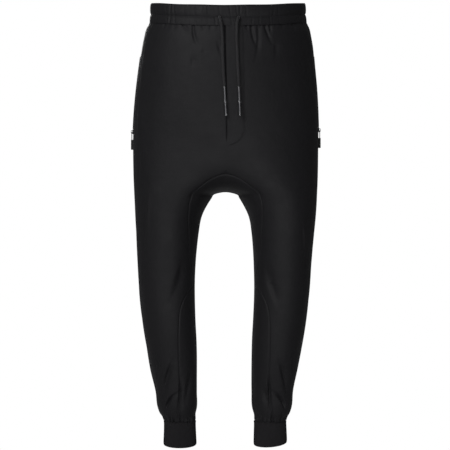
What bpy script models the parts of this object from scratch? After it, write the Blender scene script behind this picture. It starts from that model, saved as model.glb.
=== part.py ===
"""Dropped-crotch joggers in the hollow shape they have when worn, with nobody in them.

Metres, +Z up, front faces -Y, +X is the wearer's left.  The origin is the garment's middle
at the height of the waistband.

Every panel is read from one surface, the ring of a leg.  At a height z a ring is a
squarish ellipse in "lobe" units, where lobe(x) = sqrt(x^2 + w^2) - w.  Below the crotch it
is a closed ring on each side.  Above it the two rings run into each other at x = 0, and
because lobe() is flat there, they meet in a soft valley and not in a crease.  Higher up
the valley fades and both halves are one oval.
"""
import math
from collections import namedtuple

import bmesh
import bpy
import numpy as np
from mathutils import Vector

# ---------------------------------------------------------------- driving sizes
GAP = 0.0003            # left between sewn pieces
CLOTH = 0.0014          # woven wall
SQUARE = 2.2            # exponent of the rings: 2 is an ellipse
WAIST_SEAM = -0.0215    # height of the seam under the waistband
CROTCH = -0.4014        # lowest point between the legs
APEX = -0.3654          # top of the crotch panel's arch
KNEE_TIP = -0.6050      # where the crotch panel ends
ANKLE_SEAM = -0.9192    # seam between leg and cuff
MERGE = 0.150           # height over which the two leg rings become one oval
VALLEY = 0.027          # w of lobe() at the crotch
VALLEY_TOP = -0.120     # the valley has faded here
VALLEY_FADE = 0.280
WAIST_LIFT = 0.0030     # the waist is drawn up this far above its tables
FRONT_DIP = 0.0243      # it is lower in front than at the sides
BACK_RISE = 0.0080      # and higher behind
DIP_DEPTH = 0.117       # half depth of the waist
DIP_REACH = 1.2         # the dip stops growing this many half depths out
DIP_FADE = 0.300        # the dip has died out this far below the waist

# ---------------------------------------------------------------- outline of the worn shape
# z height, out = half width of the whole, front and back = y of the cloth on the centre line
Section = namedtuple("Section", "z out front back")
SECTIONS = (
    Section(0.0215, 0.1742, -0.1160, 0.1170),
    Section(0.0040, 0.1746, -0.1160, 0.1170),
    Section(-0.0120, 0.1756, -0.1164, 0.1176),
    Section(-0.0215, 0.1776, -0.1172, 0.1186),
    Section(-0.0350, 0.1838, -0.1190, 0.1216),
    Section(-0.0600, 0.1896, -0.1210, 0.1260),
    Section(-0.1200, 0.1976, -0.1240, 0.1360),
    Section(-0.1900, 0.2054, -0.1220, 0.1400),
    Section(-0.2450, 0.2089, -0.1175, 0.1375),
    Section(-0.3300, 0.2094, -0.1080, 0.1270),
    Section(-0.4000, 0.2071, -0.0990, 0.1160),
    Section(-0.4600, 0.2038, -0.0910, 0.1060),
    Section(-0.5000, 0.2009, -0.0850, 0.0990),
    Section(-0.5600, 0.1964, -0.0760, 0.0890),
    Section(-0.6200, 0.1931, -0.0690, 0.0830),
    Section(-0.6800, 0.1871, -0.0620, 0.0790),
    Section(-0.7420, 0.1776, -0.0540, 0.0740),
    Section(-0.8020, 0.1670, -0.0450, 0.0680),
    Section(-0.8520, 0.1562, -0.0370, 0.0620),
    Section(-0.8920, 0.1516, -0.0310, 0.0570),
    Section(-0.9010, 0.1484, -0.0285, 0.0545),
    Section(-0.9110, 0.1420, -0.0250, 0.0520),
    Section(-0.9192, 0.1392, -0.0235, 0.0505),
)

# half of the gap between the legs
Inside = namedtuple("Inside", "z gap")
INSIDES = (
    Inside(CROTCH, 0.0000),
    Inside(-0.4070, 0.0262),
    Inside(-0.4140, 0.0309),
    Inside(-0.4273, 0.0392),
    Inside(-0.4406, 0.0465),
    Inside(-0.4542, 0.0525),
    Inside(-0.4675, 0.0561),
    Inside(-0.4875, 0.0591),
    Inside(-0.5330, 0.0638),
    Inside(-0.6000, 0.0674),
    Inside(-0.6810, 0.0657),
    Inside(-0.7420, 0.0629),
    Inside(-0.8020, 0.0617),
    Inside(-0.8550, 0.0621),
    Inside(-0.8920, 0.0633),
    Inside(-0.9060, 0.0667),
    Inside(-0.9192, 0.0664),
)

# how far the middle of the garment stands to the wearer's left: waist one way, knees the other
Sway = namedtuple("Sway", "z shift")
SWAYS = (
    Sway(0.0250, 0.0057),
    Sway(-0.0350, 0.0059),
    Sway(-0.0700, 0.0047),
    Sway(-0.1100, 0.0031),
    Sway(-0.1700, 0.0022),
    Sway(-0.2500, 0.0010),
    Sway(-0.3300, 0.0004),
    Sway(-0.4200, 0.0006),
    Sway(-0.5000, -0.0008),
    Sway(-0.6000, -0.0022),
    Sway(-0.7200, -0.0028),
    Sway(-0.8200, -0.0027),
    Sway(-0.8800, -0.0018),
    Sway(-0.9300, -0.0010),
    Sway(-0.9800, -0.0006),
)

# the front panel's inner edge round the leg, in degrees from the inside of the leg:
# the arch and side of the crotch panel, then, below its tip, the inseam that swings forward
Seam = namedtuple("Seam", "z turn")
ARCH = (
    Seam(-0.3720, 63.7),
    Seam(-0.3830, 63.6),
    Seam(-0.3950, 61.8),
    Seam(-0.4110, 59.0),
    Seam(-0.4250, 58.4),
    Seam(-0.4500, 53.0),
    Seam(-0.5000, 45.0),
    Seam(-0.5600, 34.0),
    Seam(-0.5900, 17.0),
    Seam(-0.6050, 0.35),
)
INSEAM = (
    Seam(-0.6050, 0.0),
    Seam(-0.6190, 30.0),
    Seam(-0.6370, 48.0),
    Seam(-0.6570, 58.0),
    Seam(-0.7020, 66.2),
    Seam(-0.7680, 71.7),
    Seam(-0.8340, 76.0),
    Seam(-0.8800, 85.0),
    Seam(-0.9192, 90.0),
)

# rows of a panel: from z to z, how many steps, and how many columns each row has
Span = namedtuple("Span", "top bottom steps columns")
HIP_SPANS = (
    Span(WAIST_SEAM, -0.0800, 4, 20),
    Span(-0.0800, APEX, 8, 10),
)
FRONT_LEG_SPANS = (
    Span(-0.6190, -0.6540, 2, 8),
    Span(-0.6540, -0.8640, 6, 8),
    Span(-0.8640, ANKLE_SEAM, 4, 8),
)
BACK_LEG_SPANS = (
    Span(-0.6190, -0.6540, 2, 12),
    Span(-0.6540, -0.8640, 6, 12),
    Span(-0.8640, ANKLE_SEAM, 4, 24),
)
THIGH_STEPS = 12        # rows beside the crotch panel
THIGH_COLUMNS = 9
THIGH_CROWDING = 1.6    # rows crowd towards the apex
CROTCH_HALF_LINES = 5   # points from the middle of the crotch panel to its seam
NEWTON_STEPS = 12

# creases: face f or b, the two ends of the trough as seen from the front, half width, depth
Fold = namedtuple("Fold", "face x0 z0 x1 z1 width depth")
FOLDS = (
    Fold("f", -0.144, -0.020, -0.146, -0.040, 0.006, 0.0024),
    Fold("f", -0.099, -0.020, -0.094, -0.042, 0.007, 0.0032),
    Fold("f", -0.072, -0.022, -0.058, -0.074, 0.008, 0.0040),
    Fold("f", -0.021, -0.056, -0.016, -0.100, 0.008, 0.0030),
    Fold("f", 0.058, -0.028, 0.059, -0.082, 0.007, 0.0034),
    Fold("f", 0.074, -0.064, 0.066, -0.150, 0.009, 0.0028),
    Fold("f", 0.089, -0.020, 0.091, -0.060, 0.007, 0.0036),
    Fold("f", 0.104, -0.020, 0.099, -0.058, 0.007, 0.0032),
    Fold("f", 0.140, -0.020, 0.143, -0.046, 0.007, 0.0024),
    Fold("b", -0.150, -0.020, -0.148, -0.050, 0.007, 0.0028),
    Fold("b", -0.117, -0.020, -0.110, -0.076, 0.008, 0.0036),
    Fold("b", -0.083, -0.020, -0.086, -0.044, 0.006, 0.0026),
    Fold("b", -0.054, -0.020, -0.048, -0.094, 0.009, 0.0040),
    Fold("b", -0.024, -0.022, -0.025, -0.052, 0.007, 0.0030),
    Fold("b", 0.015, -0.020, 0.019, -0.070, 0.008, 0.0036),
    Fold("b", 0.044, -0.020, 0.042, -0.046, 0.006, 0.0026),
    Fold("b", 0.071, -0.020, 0.064, -0.088, 0.009, 0.0038),
    Fold("b", 0.103, -0.020, 0.106, -0.060, 0.007, 0.0032),
    Fold("b", 0.139, -0.020, 0.133, -0.052, 0.007, 0.0028),
    Fold("f", -0.096, -0.553, -0.126, -0.646, 0.015, 0.0040),
    Fold("f", 0.098, -0.560, 0.127, -0.650, 0.015, 0.0036),
    Fold("f", -0.133, -0.805, -0.142, -0.860, 0.010, 0.0034),
    Fold("f", 0.131, -0.796, 0.140, -0.866, 0.010, 0.0034),
    Fold("f", -0.157, -0.778, -0.157, -0.812, 0.009, 0.0030),
    Fold("f", 0.158, -0.770, 0.156, -0.806, 0.009, 0.0030),
    Fold("b", -0.088, -0.500, -0.134, -0.560, 0.016, 0.0044),
    Fold("b", 0.092, -0.512, 0.140, -0.566, 0.016, 0.0044),
    Fold("b", -0.090, -0.790, -0.124, -0.842, 0.011, 0.0034),
    Fold("b", 0.094, -0.800, 0.130, -0.850, 0.011, 0.0034),
)
FACE_BLEND = 4.0        # how sharply front creases give way to back ones at the side seam
SEAM_HOLD = 0.35        # share of a crease's depth that is left in the waist seam
SEAM_EASE = 0.018       # over which it reaches its whole depth
ANKLE_GATHERS = 16      # round one leg
ANKLE_DEPTH = 0.0026
ANKLE_REACH = 0.042

# ---------------------------------------------------------------- waistband
BAND_COLUMNS = 144
BAND_GATHER_STEP = 3    # every third column is drawn in
BAND_GATHER = 0.0010
# z, how far the face stands out from the waist line, and how much of a gather it takes
Lip = namedtuple("Lip", "z proud gather")
BAND_LIPS = (
    Lip(WAIST_SEAM + GAP / 2, 0.0000, 0.3),
    Lip(-0.0125, 0.0014, 1.0),
    Lip(-0.0034, -0.0006, 0.6),
    Lip(0.0092, 0.0016, 1.0),
    Lip(0.0200, 0.0004, 0.5),
    Lip(0.0227, -0.0014, 0.0),
    Lip(0.0202, -0.0030, 0.0),
    Lip(WAIST_SEAM + GAP / 2, -0.0030, 0.0),
)
BUTTONHOLE_Z = -0.0034  # between the two tunnels
BUTTONHOLE_PROUD = 0.0016

# ---------------------------------------------------------------- cuffs
CUFF_CENTRE_X = 0.1026
CUFF_RIBS = 48
CUFF_RIB = 0.0007
CUFF_TILT = 0.0850      # the hem is lower in front: slope of the cuff's lower end
CUFF_HEM = -0.9740
CUFF_LEAN = {"right": 0.0, "left": 0.080}       # and higher at the outer side: slope there
CUFF_SHORTER = {"right": 0.0, "left": 0.0022}
# z, radius, and 1 where the ribs are raised
CuffRing = namedtuple("CuffRing", "z radius rib")
CUFF_RINGS = (
    CuffRing(ANKLE_SEAM - GAP, 0.0350, 1),
    CuffRing(-0.9450, 0.0362, 1),
    CuffRing(-0.9680, 0.0374, 1),
    CuffRing(CUFF_HEM, 0.0364, 0),
    CuffRing(-0.9720, 0.0350, 0),
    CuffRing(ANKLE_SEAM - GAP, 0.0328, 0),
)

# ---------------------------------------------------------------- mock fly
FLY_LEFT = 0.0010
FLY_LEAN = 0.0042       # its inner edge drifts this far to the wearer's left on the way down
FLY_WIDTH = 0.0380
FLY_STRAIGHT = -0.262   # the outer edge is straight down to here
FLY_BOTTOM = -0.302
FLY_END = 0.985         # share of the bottom's quarter round that is built
FLY_ROWS = 12
FLY_COLUMNS = 4
PLY = 0.0010
PLY_LIFT = 0.0006

# ---------------------------------------------------------------- zips on the side seams
ZIP_TOP = -0.0980
ZIP_HALF = 0.0055
ZIP_LIFT = 0.0005
ZIP_THICK = 0.0014
ZIP_ROWS = 7
ZIP_COLUMNS = 2
SLIDER_Z = {"right": -0.2650, "left": -0.2610}
SLIDER_SIZE = (0.0024, 0.0088, 0.0092)
SLIDER_LIFT = 0.0004
BRIDGE_GAP = 0.0021     # in which the loop's bar turns
BRIDGE_WALL = 0.0010
BRIDGE_HALF_HEIGHT = 0.0034
BRIDGE_WIDTH = 0.0026
BRIDGE_SUNK = 0.0006
WIRE = 0.0014           # the loop's diameter
LOOP_HALF_WIDTH = 0.0027
LOOP_LENGTH = 0.0165
LOOP_CORNER = 0.0012    # radius of the loop's two upper corners
LOOP_DROP = 0.0012      # the bar rests this far below the slider's middle
TAB_SIZE = (0.0050, 0.0074, 0.0225)
TAB_INWARD = 0.0006     # the tab's middle lies this much nearer the cloth than the loop
TAB_EDGE = 0.0008
SLIDER_EDGE = 0.0008

# ---------------------------------------------------------------- drawcord
CORD = 0.0060
CORD_STEP = 0.0065
# x, z as seen from the front before the waist dips, and how far the line stands off the cloth
Route = namedtuple("Route", "x z off")
CORD_ROUTES = {
    "right": (
        Route(-0.0132, BUTTONHOLE_Z, 0.0000),
        Route(-0.0127, -0.0036, 0.0065),
        Route(-0.0112, -0.0080, 0.0105),
        Route(-0.0088, -0.0190, 0.0094),
        Route(-0.0072, -0.0380, 0.0066),
        Route(-0.0058, -0.0800, 0.0056),
        Route(-0.0042, -0.1250, 0.0056),
        Route(-0.0022, -0.1640, 0.0060),
    ),
    "left": (
        Route(0.0283, BUTTONHOLE_Z, 0.0000),
        Route(0.0279, -0.0036, 0.0065),
        Route(0.0262, -0.0084, 0.0105),
        Route(0.0247, -0.0200, 0.0098),
        Route(0.0243, -0.0400, 0.0078),
        Route(0.0256, -0.0800, 0.0070),
        Route(0.0276, -0.1250, 0.0070),
        Route(0.0290, -0.1640, 0.0074),
    ),
}
TIP_SIDES = 12
# distance along the tip, radius
TipRing = namedtuple("TipRing", "run radius")
TIP_RINGS = (
    TipRing(0.0000, 0.0030),
    TipRing(0.0015, 0.0034),
    TipRing(0.0300, 0.0031),
    TipRing(0.0312, 0.0042),
    TipRing(0.0345, 0.0042),
    TipRing(0.0357, 0.0031),
    TipRing(0.0600, 0.0033),
    TipRing(0.0625, 0.0027),
)

SIDES = {"right": -1.0, "left": 1.0}


# ---------------------------------------------------------------- reading the tables
def column(rows, name):
    return np.array([getattr(row, name) for row in rows])


def through(heights, values, z):
    """A cubic through the values; a row's slope is the weighted mean of the steps beside it."""
    order = np.argsort(heights)
    x, y = heights[order], values[order]
    step = np.diff(x)
    rise = np.diff(y) / step
    inner = (step[1:] * rise[:-1] + step[:-1] * rise[1:]) / (step[1:] + step[:-1])
    slope = np.concatenate([rise[:1], inner, rise[-1:]])
    z = np.clip(z, x[0], x[-1])
    i = np.clip(np.searchsorted(x, z) - 1, 0, len(step) - 1)
    t = (z - x[i]) / step[i]
    ends = (1 + 2 * t) * (1 - t) ** 2 * y[i] + (3 - 2 * t) * t ** 2 * y[i + 1]
    bends = t * (1 - t) ** 2 * slope[i] - (1 - t) * t ** 2 * slope[i + 1]
    return ends + step[i] * bends


def smooth_step(t):
    t = np.clip(t, 0.0, 1.0)
    return t * t * (3 - 2 * t)


def lobe(x, w):
    return np.sqrt(x * x + w * w) - w


def unlobe(u, w):
    u = np.maximum(u, 0.0)
    return np.sqrt(u * u + 2 * w * u)


# ---------------------------------------------------------------- the worn surface
def ring(z):
    """Centre, half width (lobe units), middle y, half depth and valley width at heights z."""
    w = VALLEY * smooth_step((VALLEY_TOP - z) / VALLEY_FADE)
    heights = column(SECTIONS, "z")
    out = lobe(through(heights, column(SECTIONS, "out"), z), w)
    front = through(heights, column(SECTIONS, "front"), z)
    back = through(heights, column(SECTIONS, "back"), z)
    gaps = lobe(column(INSIDES, "gap"), VALLEY)
    below = through(column(INSIDES, "z"), gaps, z)
    rise = np.clip((z - CROTCH) / MERGE, 0.0, 1.0)
    inside = np.where(z < CROTCH, below, -out * np.sin(rise * math.pi / 2))
    return (out + inside) / 2, (out - inside) / 2, (front + back) / 2, (back - front) / 2, w


def turn_at(x, z):
    """The turn round the leg, from its inside, at which the front surface passes x."""
    centre, half, _, _, w = ring(z)
    across = np.clip((centre - lobe(x, w)) / half, -1.0, 1.0)
    up = (1 - np.abs(across) ** SQUARE) ** (1 / SQUARE)
    return np.arctan2(up, across)


def surface(side, turn, z):
    """Points of the leg on one side; turn 0 is the inside, pi/2 the front, pi the side seam."""
    centre, half, middle, depth, w = ring(z)
    reach = (np.abs(np.cos(turn)) ** SQUARE + np.abs(np.sin(turn)) ** SQUARE) ** (-1 / SQUARE)
    x = side * unlobe(centre - half * reach * np.cos(turn), w)
    return np.stack([x, middle - depth * reach * np.sin(turn), z + 0 * x], axis=-1)


def fullness(points):
    """1 on the surface, more outside it."""
    x, y, z = np.moveaxis(points, -1, 0)
    centre, half, middle, depth, w = ring(z)
    across = np.abs((centre - lobe(x, w)) / half) ** SQUARE
    return across + np.abs((y - middle) / depth) ** SQUARE


def steepest(points):
    """The gradient of fullness, by central differences."""
    step = 2e-5
    parts = []
    for axis in np.eye(3):
        parts.append((fullness(points + step * axis) - fullness(points - step * axis)) / (2 * step))
    return np.stack(parts, axis=-1)


def unit(vectors):
    return vectors / np.linalg.norm(vectors, axis=-1, keepdims=True)


def onto_surface(points):
    """Newton steps along the gradient."""
    for _ in range(NEWTON_STEPS):
        gradient = steepest(points)
        miss = (fullness(points) - 1.0)[..., None]
        points = points - miss * gradient / (gradient ** 2).sum(axis=-1, keepdims=True)
    return points


def crease_depth(points):
    """How far the creases draw the cloth in."""
    x, y, z = np.moveaxis(points, -1, 0)
    middle, depth = ring(z)[2:4]
    front = smooth_step(0.5 - (y - middle) / depth * FACE_BLEND)
    total = np.zeros_like(x)
    seen = x + sway(z)
    for fold in FOLDS:
        run = np.array([fold.x1 - fold.x0, fold.z1 - fold.z0])
        along = ((seen - fold.x0) * run[0] + (z - fold.z0) * run[1]) / (run @ run)
        along = np.clip(along, 0.0, 1.0)
        away = np.hypot(seen - fold.x0 - along * run[0], z - fold.z0 - along * run[1])
        face = front if fold.face == "f" else 1 - front
        total += face * fold.depth * np.exp(-(away / fold.width) ** 2)
    centre_x = np.sign(x) * CUFF_CENTRE_X
    turn = np.arctan2(y - middle, np.abs(x) - np.abs(centre_x))
    near = smooth_step(1 - (z - ANKLE_SEAM) / ANKLE_REACH)
    held = SEAM_HOLD + (1 - SEAM_HOLD) * smooth_step((WAIST_SEAM - z) / SEAM_EASE)
    uneven = 0.75 + 0.25 * np.sin(3 * turn + 2 * np.sign(x))
    drawn = (1 - np.cos(ANKLE_GATHERS * turn)) / 2
    return total * held + ANKLE_DEPTH * near * uneven * drawn


def cloth(points, lift=0.0):
    """Surface points with their creases, moved out by lift."""
    out = lift - crease_depth(points)
    return points + unit(steepest(points)) * out[..., None]


def sway(z):
    return through(column(SWAYS, "z"), column(SWAYS, "shift"), z)


def settle(points):
    """The waist hangs lower in front and stands higher behind; this dies out over the hips.
    The garment's middle follows SWAYS from side to side."""
    y, z = points[..., 1], points[..., 2]
    t = np.clip(y / DIP_DEPTH, -DIP_REACH, DIP_REACH)
    fall = t * (FRONT_DIP + BACK_RISE) / 2 - t * t * (FRONT_DIP - BACK_RISE) / 2
    fade = smooth_step(1 + (z - WAIST_SEAM) / DIP_FADE)
    moved = points.copy()
    moved[..., 0] += sway(z)
    moved[..., 2] = z + (WAIST_LIFT + fall) * fade
    return moved


# ---------------------------------------------------------------- objects
def material(name, colour, roughness, metallic=0.0):
    made = bpy.data.materials.get(name)
    if made is None:
        made = bpy.data.materials.new(name)
        made.use_nodes = True
        shader = made.node_tree.nodes["Principled BSDF"]
        shader.inputs["Base Color"].default_value = (*colour, 1.0)
        shader.inputs["Roughness"].default_value = roughness
        shader.inputs["Metallic"].default_value = metallic
        made.diffuse_color = (*colour, 1.0)
    return made


def woven():
    return material("woven_cloth", (0.012, 0.012, 0.014), 0.62)


def knit():
    return material("rib_knit", (0.011, 0.011, 0.013), 0.85)


def metal():
    return material("dark_metal", (0.23, 0.23, 0.24), 0.32, 1.0)


def rubber():
    return material("soft_rubber", (0.010, 0.010, 0.011), 0.55)


def tape():
    return material("zip_tape", (0.011, 0.011, 0.012), 0.5)


def braid():
    return material("braided_cord", (0.014, 0.014, 0.016), 0.8)


def new_object(name, vertices, faces, finish, sharp=50):
    """A closed mesh from points and faces, turned to face outwards."""
    mesh = bpy.data.meshes.new(name)
    mesh.from_pydata([tuple(v) for v in vertices], [], faces)
    shape = bmesh.new()
    shape.from_mesh(mesh)
    bmesh.ops.recalc_face_normals(shape, faces=shape.faces[:])
    shape.to_mesh(mesh)
    shape.free()
    mesh.shade_smooth()
    mesh.set_sharp_from_angle(angle=math.radians(sharp))
    mesh.materials.append(finish)
    made = bpy.data.objects.new(name, mesh)
    PART.objects.link(made)
    return made


def lace(first, count_a, second, count_b):
    """Triangles between two rows of points spread evenly over the same width."""
    faces = []
    a, b = 0, 0
    while a < count_a - 1 or b < count_b - 1:
        next_a = (a + 1) / (count_a - 1) if a < count_a - 1 else 2.0
        next_b = (b + 1) / (count_b - 1) if b < count_b - 1 else 2.0
        if next_a <= next_b:
            faces.append((first + a, first + a + 1, second + b))
            a += 1
        else:
            faces.append((first + a, second + b + 1, second + b))
            b += 1
    return faces


def wall(name, outer_rows, inner_rows, finish):
    """A panel: an outer and an inner skin laced row by row, and a rim round them."""
    counts = [len(row) for row in outer_rows]
    starts = np.concatenate([[0], np.cumsum(counts)]).astype(int)
    total = int(starts[-1])
    faces = []
    for i in range(len(counts) - 1):
        strip = lace(int(starts[i]), counts[i], int(starts[i + 1]), counts[i + 1])
        faces += strip
        faces += [(c + total, b + total, a + total) for a, b, c in strip]
    rim = [int(starts[0]) + k for k in range(counts[0])]
    rim += [int(starts[i]) + counts[i] - 1 for i in range(1, len(counts))]
    rim += [int(starts[-2]) + k for k in range(counts[-1] - 2, -1, -1)]
    rim += [int(starts[i]) for i in range(len(counts) - 2, 0, -1)]
    for here, there in zip(rim, rim[1:] + rim[:1]):
        faces.append((here, there, there + total, here + total))
    points = np.concatenate(list(outer_rows) + list(inner_rows))
    return new_object(name, settle(points), faces, finish)


def band(name, rings, finish, sharp=50):
    """A closed band: rings of equal count, the last laced back to the first."""
    around, count = len(rings), len(rings[0])
    faces = []
    for i in range(around):
        j = (i + 1) % around
        for k in range(count):
            n = (k + 1) % count
            faces.append((i * count + k, i * count + n, j * count + n, j * count + k))
    return new_object(name, settle(np.concatenate(rings)), faces, finish, sharp)


def inset(edge, inward):
    """Move an edge's points by half the seam gap, across the seam and along the cloth."""
    tangent = unit(np.gradient(edge, axis=0))
    across = np.cross(unit(steepest(edge)), tangent)
    across *= np.sign((across * (inward - edge)).sum(axis=-1, keepdims=True))
    return edge + unit(across) * GAP / 2


def both_faces(rows):
    outer = [cloth(row) for row in rows]
    inner = [cloth(row, -CLOTH) for row in rows]
    return outer, inner


# ---------------------------------------------------------------- panels
def seam_turn(z):
    """The turn of the front panel's inner edge at heights z."""
    apex = Seam(APEX, math.degrees(float(turn_at(0.0, APEX))))
    arch = (apex,) + ARCH
    on_arch = through(column(arch, "z"), column(arch, "turn"), z)
    on_inseam = through(column(INSEAM, "z"), column(INSEAM, "turn"), z)
    middle = np.degrees(turn_at(0.0, z))
    below = np.where(z < KNEE_TIP - 1e-6, on_inseam, on_arch)
    return np.radians(np.where(z >= APEX, middle, below))


def thigh_heights():
    t = np.linspace(0.0, 1.0, THIGH_STEPS + 1)
    return APEX - (APEX - KNEE_TIP) * t ** THIGH_CROWDING


def panel_rows(leg_spans):
    """Heights and column counts of a panel's rows, top to bottom."""
    rows = []
    for span in HIP_SPANS:
        for z in np.linspace(span.top, span.bottom, span.steps, endpoint=False):
            rows.append((z, span.columns))
    rows += [(z, THIGH_COLUMNS) for z in thigh_heights()]
    for span in leg_spans:
        for z in np.linspace(span.top, span.bottom, span.steps, endpoint=False):
            rows.append((z, span.columns))
    rows.append((leg_spans[-1].bottom, leg_spans[-1].columns))
    return rows


def panel(name, side, leg_spans, start_of, end_of):
    rows = []
    for z, columns in panel_rows(leg_spans):
        part = np.linspace(0.0, 1.0, columns + 1)
        turn = start_of(z) + (end_of(z) - start_of(z)) * part
        rows.append(surface(side, turn, np.full(columns + 1, z)))
    rows[0][:, 2] -= GAP / 2
    for at, beside in ((0, 1), (-1, -2)):
        edge = inset(np.array([row[at] for row in rows]), np.array([row[beside] for row in rows]))
        for row, point in zip(rows, edge):
            row[at] = point
    outer, inner = both_faces(rows)
    return wall(name, outer, inner, woven())


def front_start(z):
    return float(seam_turn(np.array(z)))


def make_fronts():
    for side_name, side in SIDES.items():
        panel(f"front_{side_name}", side, FRONT_LEG_SPANS, front_start, lambda z: math.pi)


def back_end(z):
    """The back panel ends at its own arch, and below the knee it runs on to the inseam."""
    turn = front_start(z)
    return 2 * math.pi + (turn if z < KNEE_TIP - 1e-6 else -turn)


def make_backs():
    for side_name, side in SIDES.items():
        panel(f"back_{side_name}", side, BACK_LEG_SPANS, lambda z: math.pi, back_end)


def crotch_lines(side):
    """Lines from the front seam under the crotch to the back seam, one for each thigh row."""
    heights = thigh_heights()
    turns = seam_turn(heights)
    front = surface(side, turns, heights)
    back = surface(side, 2 * math.pi - turns, heights)
    t = np.linspace(0.0, 1.0, THIGH_STEPS + 1)
    low = CROTCH - (CROTCH - KNEE_TIP) * t ** 2
    inner = surface(side, np.zeros_like(low), low)
    lines = []
    for k in range(THIGH_STEPS + 1):
        steps = CROTCH_HALF_LINES if k < THIGH_STEPS else 1
        arc = np.linspace(0.0, math.pi / 2, steps + 1)
        halves = []
        for end in (front[k], back[k]):
            points = np.repeat(inner[k][None], len(arc), axis=0)
            share = 1 - np.cos(arc)
            points[:, 0] += (end[0] - inner[k][0]) * share
            points[:, 1] += (end[1] - inner[k][1]) * np.sin(arc)
            points[:, 2] += (end[2] - inner[k][2]) * share
            halves.append(points)
        line = onto_surface(np.concatenate([halves[0][::-1], halves[1][1:]]))
        line[0], line[-1] = front[k], back[k]
        lines.append(line)
    return lines


def make_gusset():
    right, left = crotch_lines(-1.0), crotch_lines(1.0)
    for line in (right[0], left[0]):
        line[:, 0] = 0.0
    lines = right[::-1] + left[1:]
    for at, beside in ((0, 1), (-1, -2)):
        edge = np.array([line[at] for line in lines])
        trimmed = inset(edge, np.array([line[beside] for line in lines]))
        for line, point in zip(lines, trimmed):
            line[at] = point
    outer, inner = both_faces(lines)
    return wall("gusset", outer, inner, woven())


# ---------------------------------------------------------------- waistband, cuffs, fly
def make_waistband():
    turn = np.linspace(0.0, 2 * math.pi, BAND_COLUMNS, endpoint=False)
    drawn = (np.arange(BAND_COLUMNS) % BAND_GATHER_STEP == 0).astype(float)
    uneven = 0.7 + 0.3 * np.sin(5.0 * turn) * np.cos(3.0 * turn)
    rings = []
    for lip in BAND_LIPS:
        _, half, middle, depth, _ = ring(np.full(BAND_COLUMNS, lip.z))
        out = lip.proud - BAND_GATHER * lip.gather * drawn * uneven
        reach = (np.abs(np.cos(turn)) ** SQUARE + np.abs(np.sin(turn)) ** SQUARE) ** (-1 / SQUARE)
        x = (half + out) * reach * np.cos(turn)
        y = middle + (depth + out) * reach * np.sin(turn)
        rings.append(np.stack([x, y, np.full(BAND_COLUMNS, lip.z)], axis=-1))
    return band("waistband", rings, woven())


def make_cuffs():
    count = CUFF_RIBS * 2
    turn = np.linspace(0.0, 2 * math.pi, count, endpoint=False)
    ridge = (np.arange(count) % 2).astype(float)
    middle = float(ring(np.array(ANKLE_SEAM))[2])
    for side_name, side in SIDES.items():
        rings = []
        for level in CUFF_RINGS:
            radius = level.radius + CUFF_RIB * level.rib * ridge
            x = side * CUFF_CENTRE_X + radius * np.cos(turn)
            down = (ANKLE_SEAM - level.z) / (ANKLE_SEAM - CUFF_HEM)
            lean = CUFF_LEAN[side_name] * side * np.cos(turn)
            z = level.z + CUFF_SHORTER[side_name] * down
            z = z + down * radius * (CUFF_TILT * np.sin(turn) + lean)
            rings.append(np.stack([x, middle + radius * np.sin(turn), z], axis=-1))
        band(f"cuff_{side_name}", rings, knit(), sharp=80)


def make_fly():
    """A ply on the wearer's left front; its outer edge curves in to the centre at the bottom."""
    rows = []
    for z in np.linspace(WAIST_SEAM - GAP, FLY_BOTTOM, FLY_ROWS + 1):
        down = np.clip((FLY_STRAIGHT - z) / (FLY_STRAIGHT - FLY_BOTTOM), 0.0, FLY_END)
        width = FLY_WIDTH * math.sqrt(1 - down ** 2)
        lean = FLY_LEAN * (WAIST_SEAM - z) / (WAIST_SEAM - FLY_BOTTOM)
        heights = np.full(FLY_COLUMNS + 1, z)
        x = FLY_LEFT + lean + width * np.linspace(0.0, 1.0, FLY_COLUMNS + 1) - sway(heights)
        side = np.where(x < 0, -1.0, 1.0)
        rows.append(surface(side, turn_at(np.abs(x), heights), heights))
    outer = [cloth(row, PLY_LIFT + PLY) for row in rows]
    inner = [cloth(row, PLY_LIFT) for row in rows]
    return wall("fly", outer, inner, woven())


# ---------------------------------------------------------------- zips, sliders and pulls
def side_point(side, z):
    """The settled point of the side seam at height z."""
    return [float(v) for v in settle(surface(side, np.array(math.pi), np.array(z)))]


def make_zip(side_name, side):
    rows = []
    bottom = SLIDER_Z[side_name] + SLIDER_SIZE[2] / 2 + GAP
    for z in np.linspace(ZIP_TOP, bottom, ZIP_ROWS + 1):
        depth = float(ring(np.array(z))[3])
        turn = math.pi + np.linspace(-1.0, 1.0, ZIP_COLUMNS + 1) * ZIP_HALF / depth
        rows.append(surface(side, turn, np.full(len(turn), z)))
    outer = [cloth(row, ZIP_LIFT + ZIP_THICK) for row in rows]
    inner = [cloth(row, ZIP_LIFT) for row in rows]
    return wall(f"zip_{side_name}", outer, inner, tape())


def rounded_box(name, size, place, bevel, finish):
    bpy.ops.mesh.primitive_cube_add(size=1.0, location=place)
    box = bpy.context.object
    box.name = name
    for vertex in box.data.vertices:
        vertex.co = Vector(c * s for c, s in zip(vertex.co, size))
    soften = box.modifiers.new("edges", "BEVEL")
    soften.width = bevel
    soften.segments = 2
    box.data.materials.append(finish)
    for owner in list(box.users_collection):
        owner.objects.unlink(box)
    PART.objects.link(box)
    return box


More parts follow.
